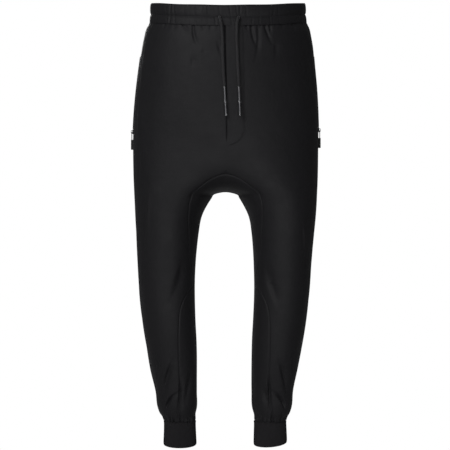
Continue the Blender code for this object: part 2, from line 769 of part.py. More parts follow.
def make_slider(side_name, side, face_x, y, z):
    """A flat body with a bridge over its face; the bridge is a plate with a window."""
    thick = SLIDER_SIZE[0]
    slider = rounded_box(f"slider_{side_name}", SLIDER_SIZE,
                         (face_x - side * thick / 2, y, z), SLIDER_EDGE, metal())
    outline = bpy.data.curves.new("bridge_outline", "CURVE")
    outline.dimensions = "2D"
    outline.fill_mode = "BOTH"
    outline.extrude = BRIDGE_WIDTH / 2
    frames = (
        (-BRIDGE_SUNK, BRIDGE_GAP + BRIDGE_WALL, BRIDGE_HALF_HEIGHT),
        (-BRIDGE_SUNK / 3, BRIDGE_GAP, BRIDGE_HALF_HEIGHT - BRIDGE_WALL),
    )
    for low, high, half in frames:
        corners = [(low, -half), (high * 0.8, -half), (high, -half * 0.7)]
        corners += [(high, half * 0.7), (high * 0.8, half), (low, half)]
        spline = outline.splines.new("POLY")
        spline.points.add(len(corners) - 1)
        spline.use_cyclic_u = True
        for point, (out, up) in zip(spline.points, corners):
            point.co = (out, up, 0.0, 1.0)
    flat = bpy.data.objects.new("bridge_flat", outline)
    PART.objects.link(flat)
    flat.location = (face_x, y, z)
    flat.rotation_euler = (math.pi / 2, 0.0, 0.0 if side > 0 else math.pi)
    bpy.context.view_layer.update()
    solid = flat.evaluated_get(bpy.context.evaluated_depsgraph_get())
    mesh = bpy.data.meshes.new_from_object(solid)
    shape = bmesh.new()
    shape.from_mesh(mesh)
    bmesh.ops.remove_doubles(shape, verts=shape.verts[:], dist=1e-6)
    bmesh.ops.recalc_face_normals(shape, faces=shape.faces[:])
    shape.to_mesh(mesh)
    shape.free()
    bridge = bpy.data.objects.new(f"bridge_{side_name}", mesh)
    bridge.matrix_world = flat.matrix_world
    CUTTERS.objects.link(bridge)
    bridge.hide_render = True
    bridge.display_type = "WIRE"
    bpy.data.objects.remove(flat)
    join = slider.modifiers.new("bridge", "BOOLEAN")
    join.operation = "UNION"
    join.object = bridge


def make_pull(side_name, side, axis):
    """The loop and tab hang from an empty on the hinge axis, the middle of the loop's bar."""
    hinge = bpy.data.objects.new(f"pull_{side_name}_hinge", None)
    hinge.location = axis
    PART.objects.link(hinge)
    wire = bpy.data.curves.new("loop", "CURVE")
    wire.dimensions = "3D"
    wire.bevel_depth = WIRE / 2
    wire.bevel_resolution = 2
    wire.use_fill_caps = True
    corner = LOOP_CORNER
    route = [(-LOOP_HALF_WIDTH, -LOOP_LENGTH), (-LOOP_HALF_WIDTH, -2 * corner)]
    for k in range(4):
        turn = math.pi - k * math.pi / 6
        route.append((-LOOP_HALF_WIDTH + corner + corner * math.cos(turn),
                      -corner + corner * math.sin(turn)))
    route += [(-y, z) for y, z in reversed(route)]
    spline = wire.splines.new("POLY")
    spline.points.add(len(route) - 1)
    for point, (y, z) in zip(spline.points, route):
        point.co = (0.0, y, z, 1.0)
    loop = bpy.data.objects.new(f"loop_{side_name}", wire)
    loop.parent = hinge
    loop.data.materials.append(metal())
    PART.objects.link(loop)
    tab_z = -LOOP_LENGTH - GAP - TAB_SIZE[2] / 2
    tab_place = (-side * TAB_INWARD, 0.0, tab_z)
    tab = rounded_box(f"tab_{side_name}", TAB_SIZE, tab_place, TAB_EDGE, rubber())
    tab.parent = hinge


def make_zips():
    for side_name, side in SIDES.items():
        make_zip(side_name, side)
        x, y, z = side_point(side, SLIDER_Z[side_name])
        face_x = x + side * (SLIDER_LIFT + SLIDER_SIZE[0])
        make_slider(side_name, side, face_x, y, z)
        make_pull(side_name, side, (face_x + side * BRIDGE_GAP / 2, y, z - LOOP_DROP))


# ---------------------------------------------------------------- drawcord
def cord_line(side_name):
    """The cord's centre line, even steps along a smooth curve through its route."""
    rows = CORD_ROUTES[side_name]
    x, z, off = (column(rows, name) for name in ("x", "z", "off"))
    x = x - sway(z)
    side = np.where(x < 0, -1.0, 1.0)
    base = surface(side, turn_at(np.abs(x), z), z)
    base[:, 1] -= off
    base[0, 1] -= GAP + BUTTONHOLE_PROUD
    base[1, 1] -= GAP
    run = np.concatenate([[0.0], np.cumsum(np.linalg.norm(np.diff(base, axis=0), axis=1))])
    count = int(round(run[-1] / CORD_STEP)) + 1
    even = np.linspace(0.0, run[-1], count)
    line = np.stack([through(run, base[:, k], even) for k in range(3)], axis=-1)
    return settle(line)


def make_cord(side_name):
    line = cord_line(side_name)
    curve = bpy.data.curves.new(f"cord_{side_name}", "CURVE")
    curve.dimensions = "3D"
    curve.bevel_depth = CORD / 2
    curve.bevel_resolution = 2
    curve.use_fill_caps = True
    spline = curve.splines.new("POLY")
    spline.points.add(len(line) - 1)
    for point, place in zip(spline.points, line):
        point.co = (*place, 1.0)
    curve.materials.append(braid())
    cord = bpy.data.objects.new(f"cord_{side_name}", curve)
    PART.objects.link(cord)
    make_tip(side_name, line[-1], line[-1] - line[-2])


def make_tip(side_name, end, direction):
    """A turned metal end that carries on from the cord."""
    profile = [(0.0, 0.0)]
    profile += [(level.radius, -level.run) for level in TIP_RINGS]
    profile.append((0.0, -TIP_RINGS[-1].run))
    mesh = bpy.data.meshes.new(f"tip_{side_name}")
    edges = [(k, k + 1) for k in range(len(profile) - 1)]
    mesh.from_pydata([(r, 0.0, z) for r, z in profile], edges, [])
    tip = bpy.data.objects.new(f"tip_{side_name}", mesh)
    turn = tip.modifiers.new("turned", "SCREW")
    turn.steps = TIP_SIDES
    turn.render_steps = TIP_SIDES
    turn.use_merge_vertices = True
    turn.merge_threshold = 0.00001
    mesh.materials.append(metal())
    down = Vector(direction).normalized()
    tip.rotation_mode = "QUATERNION"
    tip.rotation_quaternion = Vector((0.0, 0.0, -1.0)).rotation_difference(down)
    tip.location = Vector(end) + down * GAP
    PART.objects.link(tip)


def main():
    make_waistband()
    make_fronts()
    make_backs()
    make_gusset()
    make_fly()
    make_cuffs()
    make_zips()
    for side_name in SIDES:
        make_cord(side_name)


for leftover in list(bpy.data.objects):
    bpy.data.objects.remove(leftover)
PART = bpy.data.collections.new("joggers")
CUTTERS = bpy.data.collections.new("cutters")
for group in (PART, CUTTERS):
    bpy.context.scene.collection.children.link(group)
main()
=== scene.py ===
import math

import bpy
import numpy as np
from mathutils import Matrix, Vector


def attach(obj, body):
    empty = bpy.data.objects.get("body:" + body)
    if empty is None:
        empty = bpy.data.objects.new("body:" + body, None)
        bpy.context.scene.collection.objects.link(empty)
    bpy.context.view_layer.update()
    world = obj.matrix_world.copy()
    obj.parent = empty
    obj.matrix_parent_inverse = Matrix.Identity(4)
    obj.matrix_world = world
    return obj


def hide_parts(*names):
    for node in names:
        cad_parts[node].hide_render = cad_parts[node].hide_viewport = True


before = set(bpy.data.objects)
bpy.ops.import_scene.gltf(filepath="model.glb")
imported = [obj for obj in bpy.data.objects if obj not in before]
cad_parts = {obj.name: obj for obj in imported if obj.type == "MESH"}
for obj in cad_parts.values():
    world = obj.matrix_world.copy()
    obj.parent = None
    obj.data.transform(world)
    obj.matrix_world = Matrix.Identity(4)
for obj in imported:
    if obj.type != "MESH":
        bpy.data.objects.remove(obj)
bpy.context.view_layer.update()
sides = {"right": -1.0, "left": 1.0}
print("frame loaded")


# camera: level, square on to the front, 2.8 m away
view = {"place": (-0.001, -2.8, -0.476), "lens": 99.0}
cameraData = bpy.data.cameras.new("camera")
cameraData.lens = view["lens"]
camera = bpy.data.objects.new("camera", cameraData)
camera.location = view["place"]
camera.rotation_euler = (math.pi / 2, 0.0, 0.0)
bpy.context.scene.collection.objects.link(camera)
bpy.context.scene.camera = camera
print("camera set")


# the worn shape, the same sizes as the solids
worn = {
    "square": 2.2, "waistSeam": -0.0215, "crotch": -0.4014, "apex": -0.3654, "kneeTip": -0.605,
    "ankleSeam": -0.9192, "merge": 0.15, "valley": 0.027, "valleyTop": -0.12, "valleyFade": 0.28,
    "waistLift": 0.003, "frontDip": 0.0243, "backRise": 0.008, "dipDepth": 0.117, "dipReach": 1.2,
    "dipFade": 0.3,
    "gap": 0.0003, "cloth": 0.0014, "cuffX": 0.1026,
}


# rows of sizes are in tenths of a millimetre
def tenths(rows):
    return np.array(rows) / 10000


# height, half width of the whole, front and back on the centre line
sections = tenths([
    (215, 1742, -1160, 1170), (40, 1746, -1160, 1170), (-120, 1756, -1164, 1176), (-215, 1776, -1172, 1186),
    (-350, 1838, -1190, 1216), (-600, 1896, -1210, 1260), (-1200, 1976, -1240, 1360),
    (-1900, 2054, -1220, 1400), (-2450, 2089, -1175, 1375), (-3300, 2094, -1080, 1270),
    (-4000, 2071, -990, 1160), (-4600, 2038, -910, 1060), (-5000, 2009, -850, 990),
    (-5600, 1964, -760, 890), (-6200, 1931, -690, 830), (-6800, 1871, -620, 790), (-7420, 1776, -540, 740),
    (-8020, 1670, -450, 680), (-8520, 1562, -370, 620), (-8920, 1516, -310, 570), (-9010, 1484, -285, 545),
    (-9110, 1420, -250, 520), (-9192, 1392, -235, 505),
])
# height, half of the gap between the legs
insides = tenths([
    (-4014, 0), (-4070, 262), (-4140, 309), (-4273, 392), (-4406, 465), (-4542, 525), (-4675, 561),
    (-4875, 591), (-5330, 638), (-6000, 674), (-6810, 657), (-7420, 629), (-8020, 617), (-8550, 621),
    (-8920, 633), (-9060, 667), (-9192, 664),
])
# height, how far the garment's middle stands to the wearer's left
sways = tenths([
    (250, 57), (-350, 59), (-700, 47), (-1100, 31), (-1700, 22), (-2500, 10), (-3300, 4), (-4200, 6),
    (-5000, -8), (-6000, -22), (-7200, -28), (-8200, -27), (-8800, -18), (-9300, -10), (-9800, -6),
])
# height, degrees round the leg from its inside: the crotch panel's side, and below it the inseam
arch = np.array([
    (-0.372, 63.7), (-0.383, 63.6), (-0.395, 61.8), (-0.411, 59.0), (-0.425, 58.4),
    (-0.45, 53.0), (-0.5, 45.0), (-0.56, 34.0), (-0.59, 17.0), (-0.605, 0.35),
])
inseam = np.array([
    (-0.605, 0.0), (-0.619, 30.0), (-0.637, 48.0), (-0.657, 58.0), (-0.702, 66.2),
    (-0.768, 71.7), (-0.834, 76.0), (-0.88, 85.0), (-0.9192, 90.0),
])


# a cubic through the values; the slope at a row is the weighted mean of the steps beside it
def through(heights, values, z):
    order = np.argsort(heights)
    x, y = heights[order], values[order]
    step = np.diff(x)
    rise = np.diff(y) / step
    inner = (step[1:] * rise[:-1] + step[:-1] * rise[1:]) / (step[1:] + step[:-1])
    slope = np.concatenate([rise[:1], inner, rise[-1:]])
    z = np.clip(z, x[0], x[-1])
    i = np.clip(np.searchsorted(x, z) - 1, 0, len(step) - 1)
    t = (z - x[i]) / step[i]
    ends = (1 + 2 * t) * (1 - t) ** 2 * y[i] + (3 - 2 * t) * t ** 2 * y[i + 1]
    bends = t * (1 - t) ** 2 * slope[i] - (1 - t) * t ** 2 * slope[i + 1]
    return ends + step[i] * bends


# 0 below t = 0, 1 above t = 1, an S between: 3 t squared - 2 t cubed
def smoothStep(t):
    t = np.clip(t, 0.0, 1.0)
    return t * t * (3 - 2 * t)


# width measured so that it is flat at the middle: square root of (x squared + w squared), less w
def lobe(x, w):
    return np.sqrt(x * x + w * w) - w


def unlobe(u, w):
    u = np.maximum(u, 0.0)
    return np.sqrt(u * u + 2 * w * u)


def unit(vectors):
    return vectors / np.maximum(np.linalg.norm(vectors, axis=-1, keepdims=True), 1e-12)


# even angles once round
def circle(count):
    return np.linspace(0.0, 2 * math.pi, count, endpoint=False)


# how far along the points each of them lies
def runAlong(points, axis=0):
    steps = np.cumsum(np.linalg.norm(np.diff(points, axis=axis), axis=-1), axis=axis)
    return np.concatenate([0 * steps.take([0], axis), steps], axis=axis)


# what a row of points has at given distances along it
def pickAt(at, run, points):
    return np.stack([np.interp(at, run, points[:, k]) for k in range(points.shape[1])], axis=-1)


# the points with the first of them again at the end
def looped(points, axis=0):
    return np.concatenate([points, points.take([0], axis)], axis=axis)


# centre and half width in lobe units, middle and half depth in y, and w, at heights z
def ring(z):
    w = worn["valley"] * smoothStep((worn["valleyTop"] - z) / worn["valleyFade"])
    out = lobe(through(sections[:, 0], sections[:, 1], z), w)
    front = through(sections[:, 0], sections[:, 2], z)
    back = through(sections[:, 0], sections[:, 3], z)
    below = through(insides[:, 0], lobe(insides[:, 1], worn["valley"]), z)
    rise = np.clip((z - worn["crotch"]) / worn["merge"], 0.0, 1.0)
    inside = np.where(z < worn["crotch"], below, -out * np.sin(rise * math.pi / 2))
    return (out + inside) / 2, (out - inside) / 2, (front + back) / 2, (back - front) / 2, w


# how far a squarish ellipse reaches at a turn: (|cos| to the n + |sin| to the n) to the -1/n
def reach(turn):
    n = worn["square"]
    return (np.abs(np.cos(turn)) ** n + np.abs(np.sin(turn)) ** n) ** (-1 / n)


# the turn round the leg at which the front passes x
def turnAt(x, z):
    centre, half, _, _, w = ring(z)
    across = np.clip((centre - lobe(x, w)) / half, -1.0, 1.0)
    up = (1 - np.abs(across) ** worn["square"]) ** (1 / worn["square"])
    return np.arctan2(up, across)


# a point of one leg: turn 0 is its inside, a quarter the front, a half the side seam
def surface(side, turn, z):
    centre, half, middle, depth, w = ring(z)
    far = reach(turn)
    x = side * unlobe(centre - half * far * np.cos(turn), w)
    return np.stack([x, middle - depth * far * np.sin(turn), z + 0 * x], axis=-1)


# the point of the front at x
def frontAt(x, z):
    return surface(np.where(x < 0, -1.0, 1.0), turnAt(np.abs(x), z), z)


# 1 on the surface and more outside it
def fullness(points):
    x, y, z = np.moveaxis(points, -1, 0)
    centre, half, middle, depth, w = ring(z)
    n = worn["square"]
    return np.abs((centre - lobe(x, w)) / half) ** n + np.abs((y - middle) / depth) ** n


# the gradient of fullness, by central differences
def steepest(points):
    step = 2e-5
    parts = [fullness(points + step * axis) - fullness(points - step * axis) for axis in np.eye(3)]
    return np.stack(parts, axis=-1) / (2 * step)


# steps along the gradient until the points lie on the surface
def ontoSurface(points, steps):
    for _ in range(steps):
        slope = steepest(points)
        miss = (fullness(points) - 1.0)[..., None]
        points = points - miss * slope / (slope ** 2).sum(axis=-1, keepdims=True)
    return points


def sway(z):
    return through(sways[:, 0], sways[:, 1], z)


# the waist hangs lower in front and stands higher behind, which dies out over the hips, and the
# garment's middle sways from side to side
def settle(points):
    y, z = points[..., 1], points[..., 2]
    t = np.clip(y / worn["dipDepth"], -worn["dipReach"], worn["dipReach"])
    fall = t * (worn["frontDip"] + worn["backRise"]) / 2
    fall = fall - t * t * (worn["frontDip"] - worn["backRise"]) / 2
    moved = points.copy()
    fade = smoothStep(1 + (z - worn["waistSeam"]) / worn["dipFade"])
    moved[..., 0] += sway(z)
    moved[..., 2] = z + (worn["waistLift"] + fall) * fade
    return moved


# creases listed in tenths of a millimetre: the trough's two ends seen from the front (x, z),
# how far its middle bows to the side, half width at each end, depth, and 1 where the first end is
# held in a seam. A depth below nothing makes a ridge.
creases = {
    "front": [
        (-1569, -214, -1620, -430, 0, 26, 30, 18, 1), (-1349, -205, -1337, -310, 0, 24, 26, 18, 1),
        (-1150, -205, -1135, -300, 0, 24, 26, 14, 1), (-942, -212, -779, -382, 0, 26, 30, 32, 1),
        (-710, -215, -574, -709, -44, 28, 40, 36, 1), (-530, -212, -461, -302, 0, 24, 26, 24, 1),
        (-340, -205, -345, -330, 0, 24, 28, 14, 1), (-188, -560, -97, -900, 10, 44, 50, 24, 0),
        (-487, -700, -465, -900, 0, 44, 50, 10, 0), (454, -205, 476, -310, 0, 24, 26, 20, 1),
        (554, -214, 681, -720, -24, 28, 36, 42, 1), (694, -250, 636, -1010, 40, 34, 56, 24, 1),
        (855, -214, 1000, -630, -10, 26, 32, 40, 1), (965, -214, 978, -420, 0, 24, 26, 34, 1),
        (1225, -214, 1247, -325, 0, 24, 26, 16, 1), (1464, -214, 1529, -420, 0, 26, 30, 20, 1),
        (-700, -860, -730, -1250, 0, 56, 73, 19, 0), (1100, -600, 1090, -1020, 0, 50, 59, 16, 0),
        (-937, -5550, -1218, -6450, 40, 85, 100, 40, 0), (884, -5600, 1210, -6620, -40, 85, 100, 40, 0),
        (-1545, -7680, -1530, -8220, 0, 36, 40, 40, 0), (-1189, -7800, -1412, -8660, -35, 62, 56, 57, 0),
        (-1352, -8960, -1000, -8480, 97, 34, 36, 63, 0), (-781, -7960, -950, -8840, 20, 50, 44, 42, 0),
        (1500, -7640, 1490, -8180, 0, 36, 40, 42, 0), (1185, -7800, 1372, -8660, 43, 62, 56, 57, 0),
        (1336, -8930, 985, -8462, -83, 34, 36, 63, 0), (843, -8380, 918, -8860, 0, 44, 40, 42, 0),
        (-1725, -500, -1905, -2300, -30, 60, 75, -27, 0), (-1900, -1900, -1925, -3300, 0, 75, 90, -27, 0),
        (1800, -300, 2045, -2200, 40, 60, 75, -23, 0), (-1684, -4000, -1762, -5500, 0, 36, 40, -20, 0),
        (1712, -4700, 1780, -5500, 0, 36, 40, -20, 0), (960, -6000, 1120, -6400, 0, 50, 60, 20, 0),
        (-1005, -8150, -1035, -9120, 0, 34, 30, 56, 0), (955, -8150, 980, -9120, 0, 34, 30, 56, 0),
        (-1935, -2700, -1930, -3900, 0, 40, 40, 16, 0), (-1800, -5080, -1830, -6000, 0, 40, 45, 16, 0),
        (1760, -5300, 1740, -6000, 0, 40, 45, 14, 0),
    ],
    "back": [
        (-1500, -200, -1480, -500, 10, 60, 70, 26, 1), (-1330, -200, -1350, -340, 0, 45, 50, 16, 1),
        (-1170, -200, -1100, -780, 20, 62, 95, 36, 1), (-980, -440, -930, -700, 0, 55, 60, 22, 0),
        (-830, -200, -860, -440, 0, 50, 60, 28, 1), (-540, -200, -480, -960, -20, 60, 100, 38, 1),
        (-240, -220, -250, -520, 0, 52, 60, 30, 1), (150, -200, 190, -720, 10, 60, 80, 34, 1),
        (290, -380, 260, -600, 0, 50, 60, 20, 0), (440, -200, 420, -460, 0, 50, 60, 26, 1),
        (710, -200, 640, -900, 20, 62, 100, 38, 1), (860, -200, 880, -380, 0, 45, 50, 20, 1),
        (1030, -200, 1060, -620, -10, 55, 80, 32, 1), (1390, -200, 1330, -520, 0, 55, 70, 28, 1),
        (-1650, -3350, -600, -4050, 100, 160, 180, 24, 0), (1560, -3200, 560, -3960, -100, 160, 180, 22, 0),
        (-880, -5000, -1340, -5600, 40, 150, 170, 44, 0), (920, -5120, 1400, -5660, -40, 150, 170, 44, 0),
        (-980, -5660, -1480, -6160, 50, 120, 150, 26, 0), (930, -5760, 1450, -6240, -50, 120, 150, 26, 0),
        (-900, -7900, -1240, -8420, 30, 100, 110, 34, 0), (940, -8000, 1300, -8500, -30, 100, 110, 34, 0),
        (-1380, -8100, -1180, -8700, -40, 80, 80, 26, 0), (1360, -8000, 1160, -8640, 40, 80, 80, 26, 0),
        (-960, -9000, -1200, -8620, -50, 50, 50, 30, 0), (980, -9000, 1240, -8600, 50, 50, 50, 30, 0),
    ],
}
# a crease tapers over these shares of its length at its start and end, down to "least" of its depth
seamLife = {
    "hold": 0.7, "ease": 0.014, "faceBlend": 4.0, "steep": 1.7, "gentle": 0.75,
    "margin": 0.05, "taper": (0.35, 0.6), "least": 0.15,
    "waistGathers": 84, "waistDepth": (0.0003, 0.0011), "waistLength": (0.006, 0.024),
    "waistZone": 0.03, "waistOval": 0.68, "waistRadius": 0.145, "waistWidth": 0.003,
    "ankleGathers": 24, "ankleDepth": (0.002, 0.0046), "ankleLength": (0.012, 0.036),
    "ankleZone": 0.045, "ankleRadius": 0.038, "ankleWidth": 0.0023,
    "roll": 0.0009, "rollWidth": 0.0016,
    "pucker": 0.00028, "puckerReach": 0.006, "puckerPitch": 0.0071, "puckerStart": 0.0015,
}
# the line at the middle of the front, where the fly's ply ends: it leans to the wearer's left
centreLine = {
    "left": 0.001, "lean": 0.0042, "bottom": -0.302, "aside": 0.0013, "width": 0.0017, "depth": 0.0024,
    "fade": 0.03,
}
dice = np.random.default_rng(41)


def flyLine(z):
    down = (worn["waistSeam"] - z) / (worn["waistSeam"] - centreLine["bottom"])
    return centreLine["left"] + centreLine["lean"] * down


# the trough's profile, with a soft ridge at each side: (1 - 0.8 a squared) times exp(-a squared / 1.2)
def trough(a):
    return (1 - 0.8 * a * a) * np.exp(-a * a / 1.2)


# depth = the listed troughs, tapered at their free ends; each is steep on its side towards the
# left of the picture and gentle on the other, as a fold that lies over
def laidCreases(points):
    x, y, z = np.moveaxis(points, -1, 0)
    middle, depth = ring(z)[2:4]
    front = smoothStep(0.5 - (y - middle) / depth * seamLife["faceBlend"])
    seen = x + sway(z)
    total = np.zeros_like(x)
    begin, finish = seamLife["taper"]
    for face, *sizes, held in [(face, *row) for face, rows in creases.items() for row in rows]:
        x0, z0, x1, z1, bow, width0, width1, deep = tenths(sizes)
        near = (z < max(z0, z1) + seamLife["margin"]) & (z > min(z0, z1) - seamLife["margin"])
        px, pz = seen[near] - x0, z[near] - z0
        run = np.array([x1 - x0, z1 - z0])
        length = math.hypot(*run)
        run = run / length
        along = (px * run[0] + pz * run[1]) / length
        t = np.clip(along, 0.0, 1.0)
        across = -px * run[1] + pz * run[0] - bow * 4 * t * (1 - t)
        lit = across * math.copysign(1.0, -run[1]) < 0
        across = across * np.where(lit, seamLife["steep"], seamLife["gentle"])
        over = (along - t) * length
        away = np.hypot(across, over) / (width0 + (width1 - width0) * t)
        taper = smoothStep((1 - t) / finish) * (1.0 if held else smoothStep(t / begin))
        taper = seamLife["least"] + (1 - seamLife["least"]) * taper
        share = front[near] if face == "front" else 1 - front[near]
        total[near] += share * deep * np.exp(-away * away) * taper
    return total


# small gathers that start in a seam: round it at even steps moved a little, each with its own length
def gatherSet(count, depths, lengths, stream):
    spot = (np.arange(count) + stream.uniform(-0.36, 0.36, count)) / count * 2 * math.pi
    return spot, stream.uniform(*depths, count), stream.uniform(*lengths, count)


waistGathers = gatherSet(seamLife["waistGathers"], seamLife["waistDepth"], seamLife["waistLength"], dice)
ankleGathers = {
    name: gatherSet(seamLife["ankleGathers"], seamLife["ankleDepth"], seamLife["ankleLength"], dice)
    for name in sides
}


# depth = sum over the gathers of its depth, times the trough across it, times a fade along it
def gathers(turn, away, radius, gatherList, width):
    total = np.zeros_like(turn)
    for spot, deep, length in zip(*gatherList):
        off = (turn - spot + math.pi) % (2 * math.pi) - math.pi
        spread = width * (1 + 0.9 * np.clip(away / length, 0.0, 1.0))
        total += deep * trough(off * radius / spread) * smoothStep(1 - away / length)
    return total


# the ditch beside the fly's edge: depth times exp(-(distance / width) squared), fading out below
def centreDitch(points):
    x, y, z = np.moveaxis(points, -1, 0)
    off = (x + sway(z) - flyLine(z) + centreLine["aside"]) / centreLine["width"]
    fade = smoothStep((z - centreLine["bottom"]) / centreLine["fade"]) * (y < ring(z)[2])
    return centreLine["depth"] * np.exp(-off * off) * fade


# all but the ditch: what starts in the waist seam is held there, and grows to its depth below it
def creaseDepth(points):
    x, y, z = np.moveaxis(points, -1, 0)
    middle = ring(z)[2]
    total = laidCreases(points)
    below, above = worn["waistSeam"] - z, z - worn["ankleSeam"]
    hips = below < seamLife["waistZone"]
    turn = np.arctan2(y[hips] - middle[hips], x[hips] * seamLife["waistOval"])
    total[hips] += gathers(turn, below[hips], seamLife["waistRadius"], waistGathers, seamLife["waistWidth"])
    total = total * (seamLife["hold"] + (1 - seamLife["hold"]) * smoothStep(below / seamLife["ease"]))
    for name, side in sides.items():
        ankle = (above < seamLife["ankleZone"]) & (x * side > 0)
        turn = np.arctan2(y[ankle] - middle[ankle], x[ankle] * side - worn["cuffX"])
        total[ankle] += gathers(turn, above[ankle], seamLife["ankleRadius"], ankleGathers[name],
                                seamLife["ankleWidth"])
    return total


# soft swells of a millimetre or less: slow waves in x and z added together, shifted behind
swellMake = {
    "size": 0.0011, "middle": -0.004, "shift": 1.3,
    "waves": [
        (31, 17, 0.3, 0.3), (-22, 29, 1.7, 0.26), (47, 8, 2.9, 0.18), (12, -41, 0.9, 0.22),
        (64, 37, 4.1, 0.1),
    ],
}


def swell(points):
    x, y, z = np.moveaxis(points, -1, 0)
    turned = np.sign(y - swellMake["middle"]) * swellMake["shift"]
    return swellMake["size"] * sum(
        share * np.sin(kx * x + kz * z + start + turned) for kx, kz, start, share in swellMake["waves"])


# distance from points to a line of points, and how far along it the nearest place is
def seamDistance(points, line):
    start, step = line[:-1], np.diff(line, axis=0)
    long = np.maximum((step ** 2).sum(axis=1), 1e-16)
    run = np.concatenate([[0.0], np.cumsum(np.sqrt(long))])
    nearest, place = [], []
    for some in np.array_split(points, max(1, len(points) // 3000)):
        from0 = some[:, None] - start
        t = np.clip((from0 * step).sum(axis=2) / long, 0.0, 1.0)
        away = np.linalg.norm(from0 - t[..., None] * step, axis=2)
        k = away.argmin(axis=1)
        row = np.arange(len(some))
        nearest.append(away[row, k])
        place.append(run[k] + t[row, k] * np.sqrt(long[k]))
    return np.concatenate(nearest), np.concatenate(place)


# the cloth rolls in at a seam, and puckers beside it: a wave along the seam that dies out
def seamShape(grid, strips):
    out = np.zeros(grid.shape[:2])
    for rows, columns, line, pucker, roll in strips:
        block = grid[rows, columns]
        away, along = seamDistance(block.reshape(-1, 3), line)
        rolled = roll * seamLife["roll"] * np.exp(-(away / seamLife["rollWidth"]) ** 2)
        wave = np.sin(along * 2 * math.pi / seamLife["puckerPitch"] + 1.9 * np.sin(along * 41))
        wave = wave * np.sin(along * 97 + 0.7) * smoothStep(away / seamLife["puckerStart"])
        ripple = pucker * seamLife["pucker"] * wave * np.exp(-away / seamLife["puckerReach"])
        out[rows, columns] -= (rolled + ripple).reshape(block.shape[:2])
    return out


print("shape ready")


# meshes from grids
def gridFaces(rows, columns, roundRows=False, roundColumns=False):
    i, j = np.meshgrid(np.arange(rows if roundRows else rows - 1),
                       np.arange(columns if roundColumns else columns - 1), indexing="ij")
    i, j = i.ravel(), j.ravel()
    corners = np.stack([i, i, i + 1, i + 1], axis=1), np.stack([j, j + 1, j + 1, j], axis=1)
    faces = (corners[0] % rows) * columns + corners[1] % columns
    return faces, corners


# faceSets: arrays of faces with equally many corners; uvSets: for each, the uv of every corner in metres
def makePiece(name, points, faceSets, finish, uvSets=None, sharp=None, flip=False):
    if uvSets is None:
        uvSets = [np.zeros((*faces.shape, 2)) for faces in faceSets]
    if flip:
        faceSets, uvSets = ([part[:, ::-1] for part in sets] for sets in (faceSets, uvSets))
    mesh = bpy.data.meshes.new(name)
    mesh.vertices.add(len(points))
    mesh.vertices.foreach_set("co", np.ascontiguousarray(points, dtype=np.float32).ravel())
    corners = np.concatenate([faces.ravel() for faces in faceSets]).astype(np.int32)
    sizes = np.concatenate([np.full(len(faces), faces.shape[1]) for faces in faceSets])
    mesh.loops.add(len(corners))
    mesh.loops.foreach_set("vertex_index", corners)
    mesh.polygons.add(len(sizes))
    mesh.polygons.foreach_set("loop_start", (np.cumsum(sizes) - sizes).astype(np.int32))
    mesh.update(calc_edges=True)
    layer = mesh.uv_layers.new(name="cloth")
    uv = np.concatenate([part.reshape(-1, 2) for part in uvSets]).astype(np.float32)
    layer.data.foreach_set("uv", uv.ravel())
    mesh.validate()
    mesh.shade_smooth()
    if sharp:
        mesh.set_sharp_from_angle(angle=math.radians(sharp))
    mesh.materials.append(finish)
    piece = bpy.data.objects.new(name, mesh)
    bpy.context.scene.collection.objects.link(piece)
    return piece


# true when the first faces of a grid point the same way as the given directions
def facesOut(grid, outward):
    across = np.cross(grid[:-1, 1:] - grid[:-1, :-1], grid[1:, :-1] - grid[:-1, :-1])
    return (across * outward[:-1, :-1]).sum() > 0


# lengths along rows and down columns, for a pattern in metres
def clothUv(grid):
    u = runAlong(grid, 1)
    u = u - u[:, -1:] / 2
    return np.stack([u, runAlong(grid).mean(axis=1)[:, None] + 0 * u], axis=-1)


# a closed shell from an outer grid and its inner twin, with a rim round the edge
def makeShell(name, outer, inner, outward, finish):
    rows, columns = outer.shape[:2]
    total = rows * columns
    faces, _ = gridFaces(rows, columns)
    edge = np.concatenate([
        np.arange(columns), np.arange(2, rows) * columns - 1,
        np.arange(total - 1, total - columns - 1, -1), np.arange(rows - 2, 0, -1) * columns,
    ])
    after = np.roll(edge, -1)
    sets = [faces, faces[:, ::-1] + total, np.stack([after, edge, edge + total, after + total], axis=1)]
    uv = clothUv(outer).reshape(-1, 2)
    points = np.concatenate([outer.reshape(-1, 3), inner.reshape(-1, 3)])
    return makePiece(name, points, sets, finish, [uv[part % total] for part in sets], sharp=50,
                     flip=not facesOut(outer, outward))


# a tube along a line: each ring is centre + radius (cos a side + sin a up)
def tubeGrid(line, across, angles, radius):
    tangent = unit(np.gradient(line, axis=0))
    first = unit(across - (across * tangent).sum(axis=1, keepdims=True) * tangent)
    second = np.cross(tangent, first)
    angles = angles[None, :, None]
    ringPart = np.cos(angles) * first[:, None] + np.sin(angles) * second[:, None]
    return line[:, None] + radius[..., None] * ringPart


# a tube closed round and at both ends, each end by a fan to its middle
def makeTube(name, grid, finish, sharp=None):
    rows, columns = grid.shape[:2]
    total = rows * columns
    faces, corners = gridFaces(rows, columns, roundColumns=True)
    middle = grid.mean(axis=1)
    u, v = runAlong(looped(grid, 1), 1), runAlong(middle)
    uv = np.stack([u[corners[0], corners[1]], v[corners[0]]], axis=-1)
    here = np.arange(columns)
    after = (here + 1) % columns
    last = total - columns
    caps = np.concatenate([
        np.stack([after, here, np.full(columns, total)], axis=1),
        np.stack([here + last, after + last, np.full(columns, total + 1)], axis=1),
    ])
    points = np.concatenate([grid.reshape(-1, 3), middle[:1], middle[-1:]])
    return makePiece(name, points, [faces, caps], finish, [uv, np.zeros((*caps.shape, 2))], sharp,
                     flip=not facesOut(grid, grid - middle[:, None]))


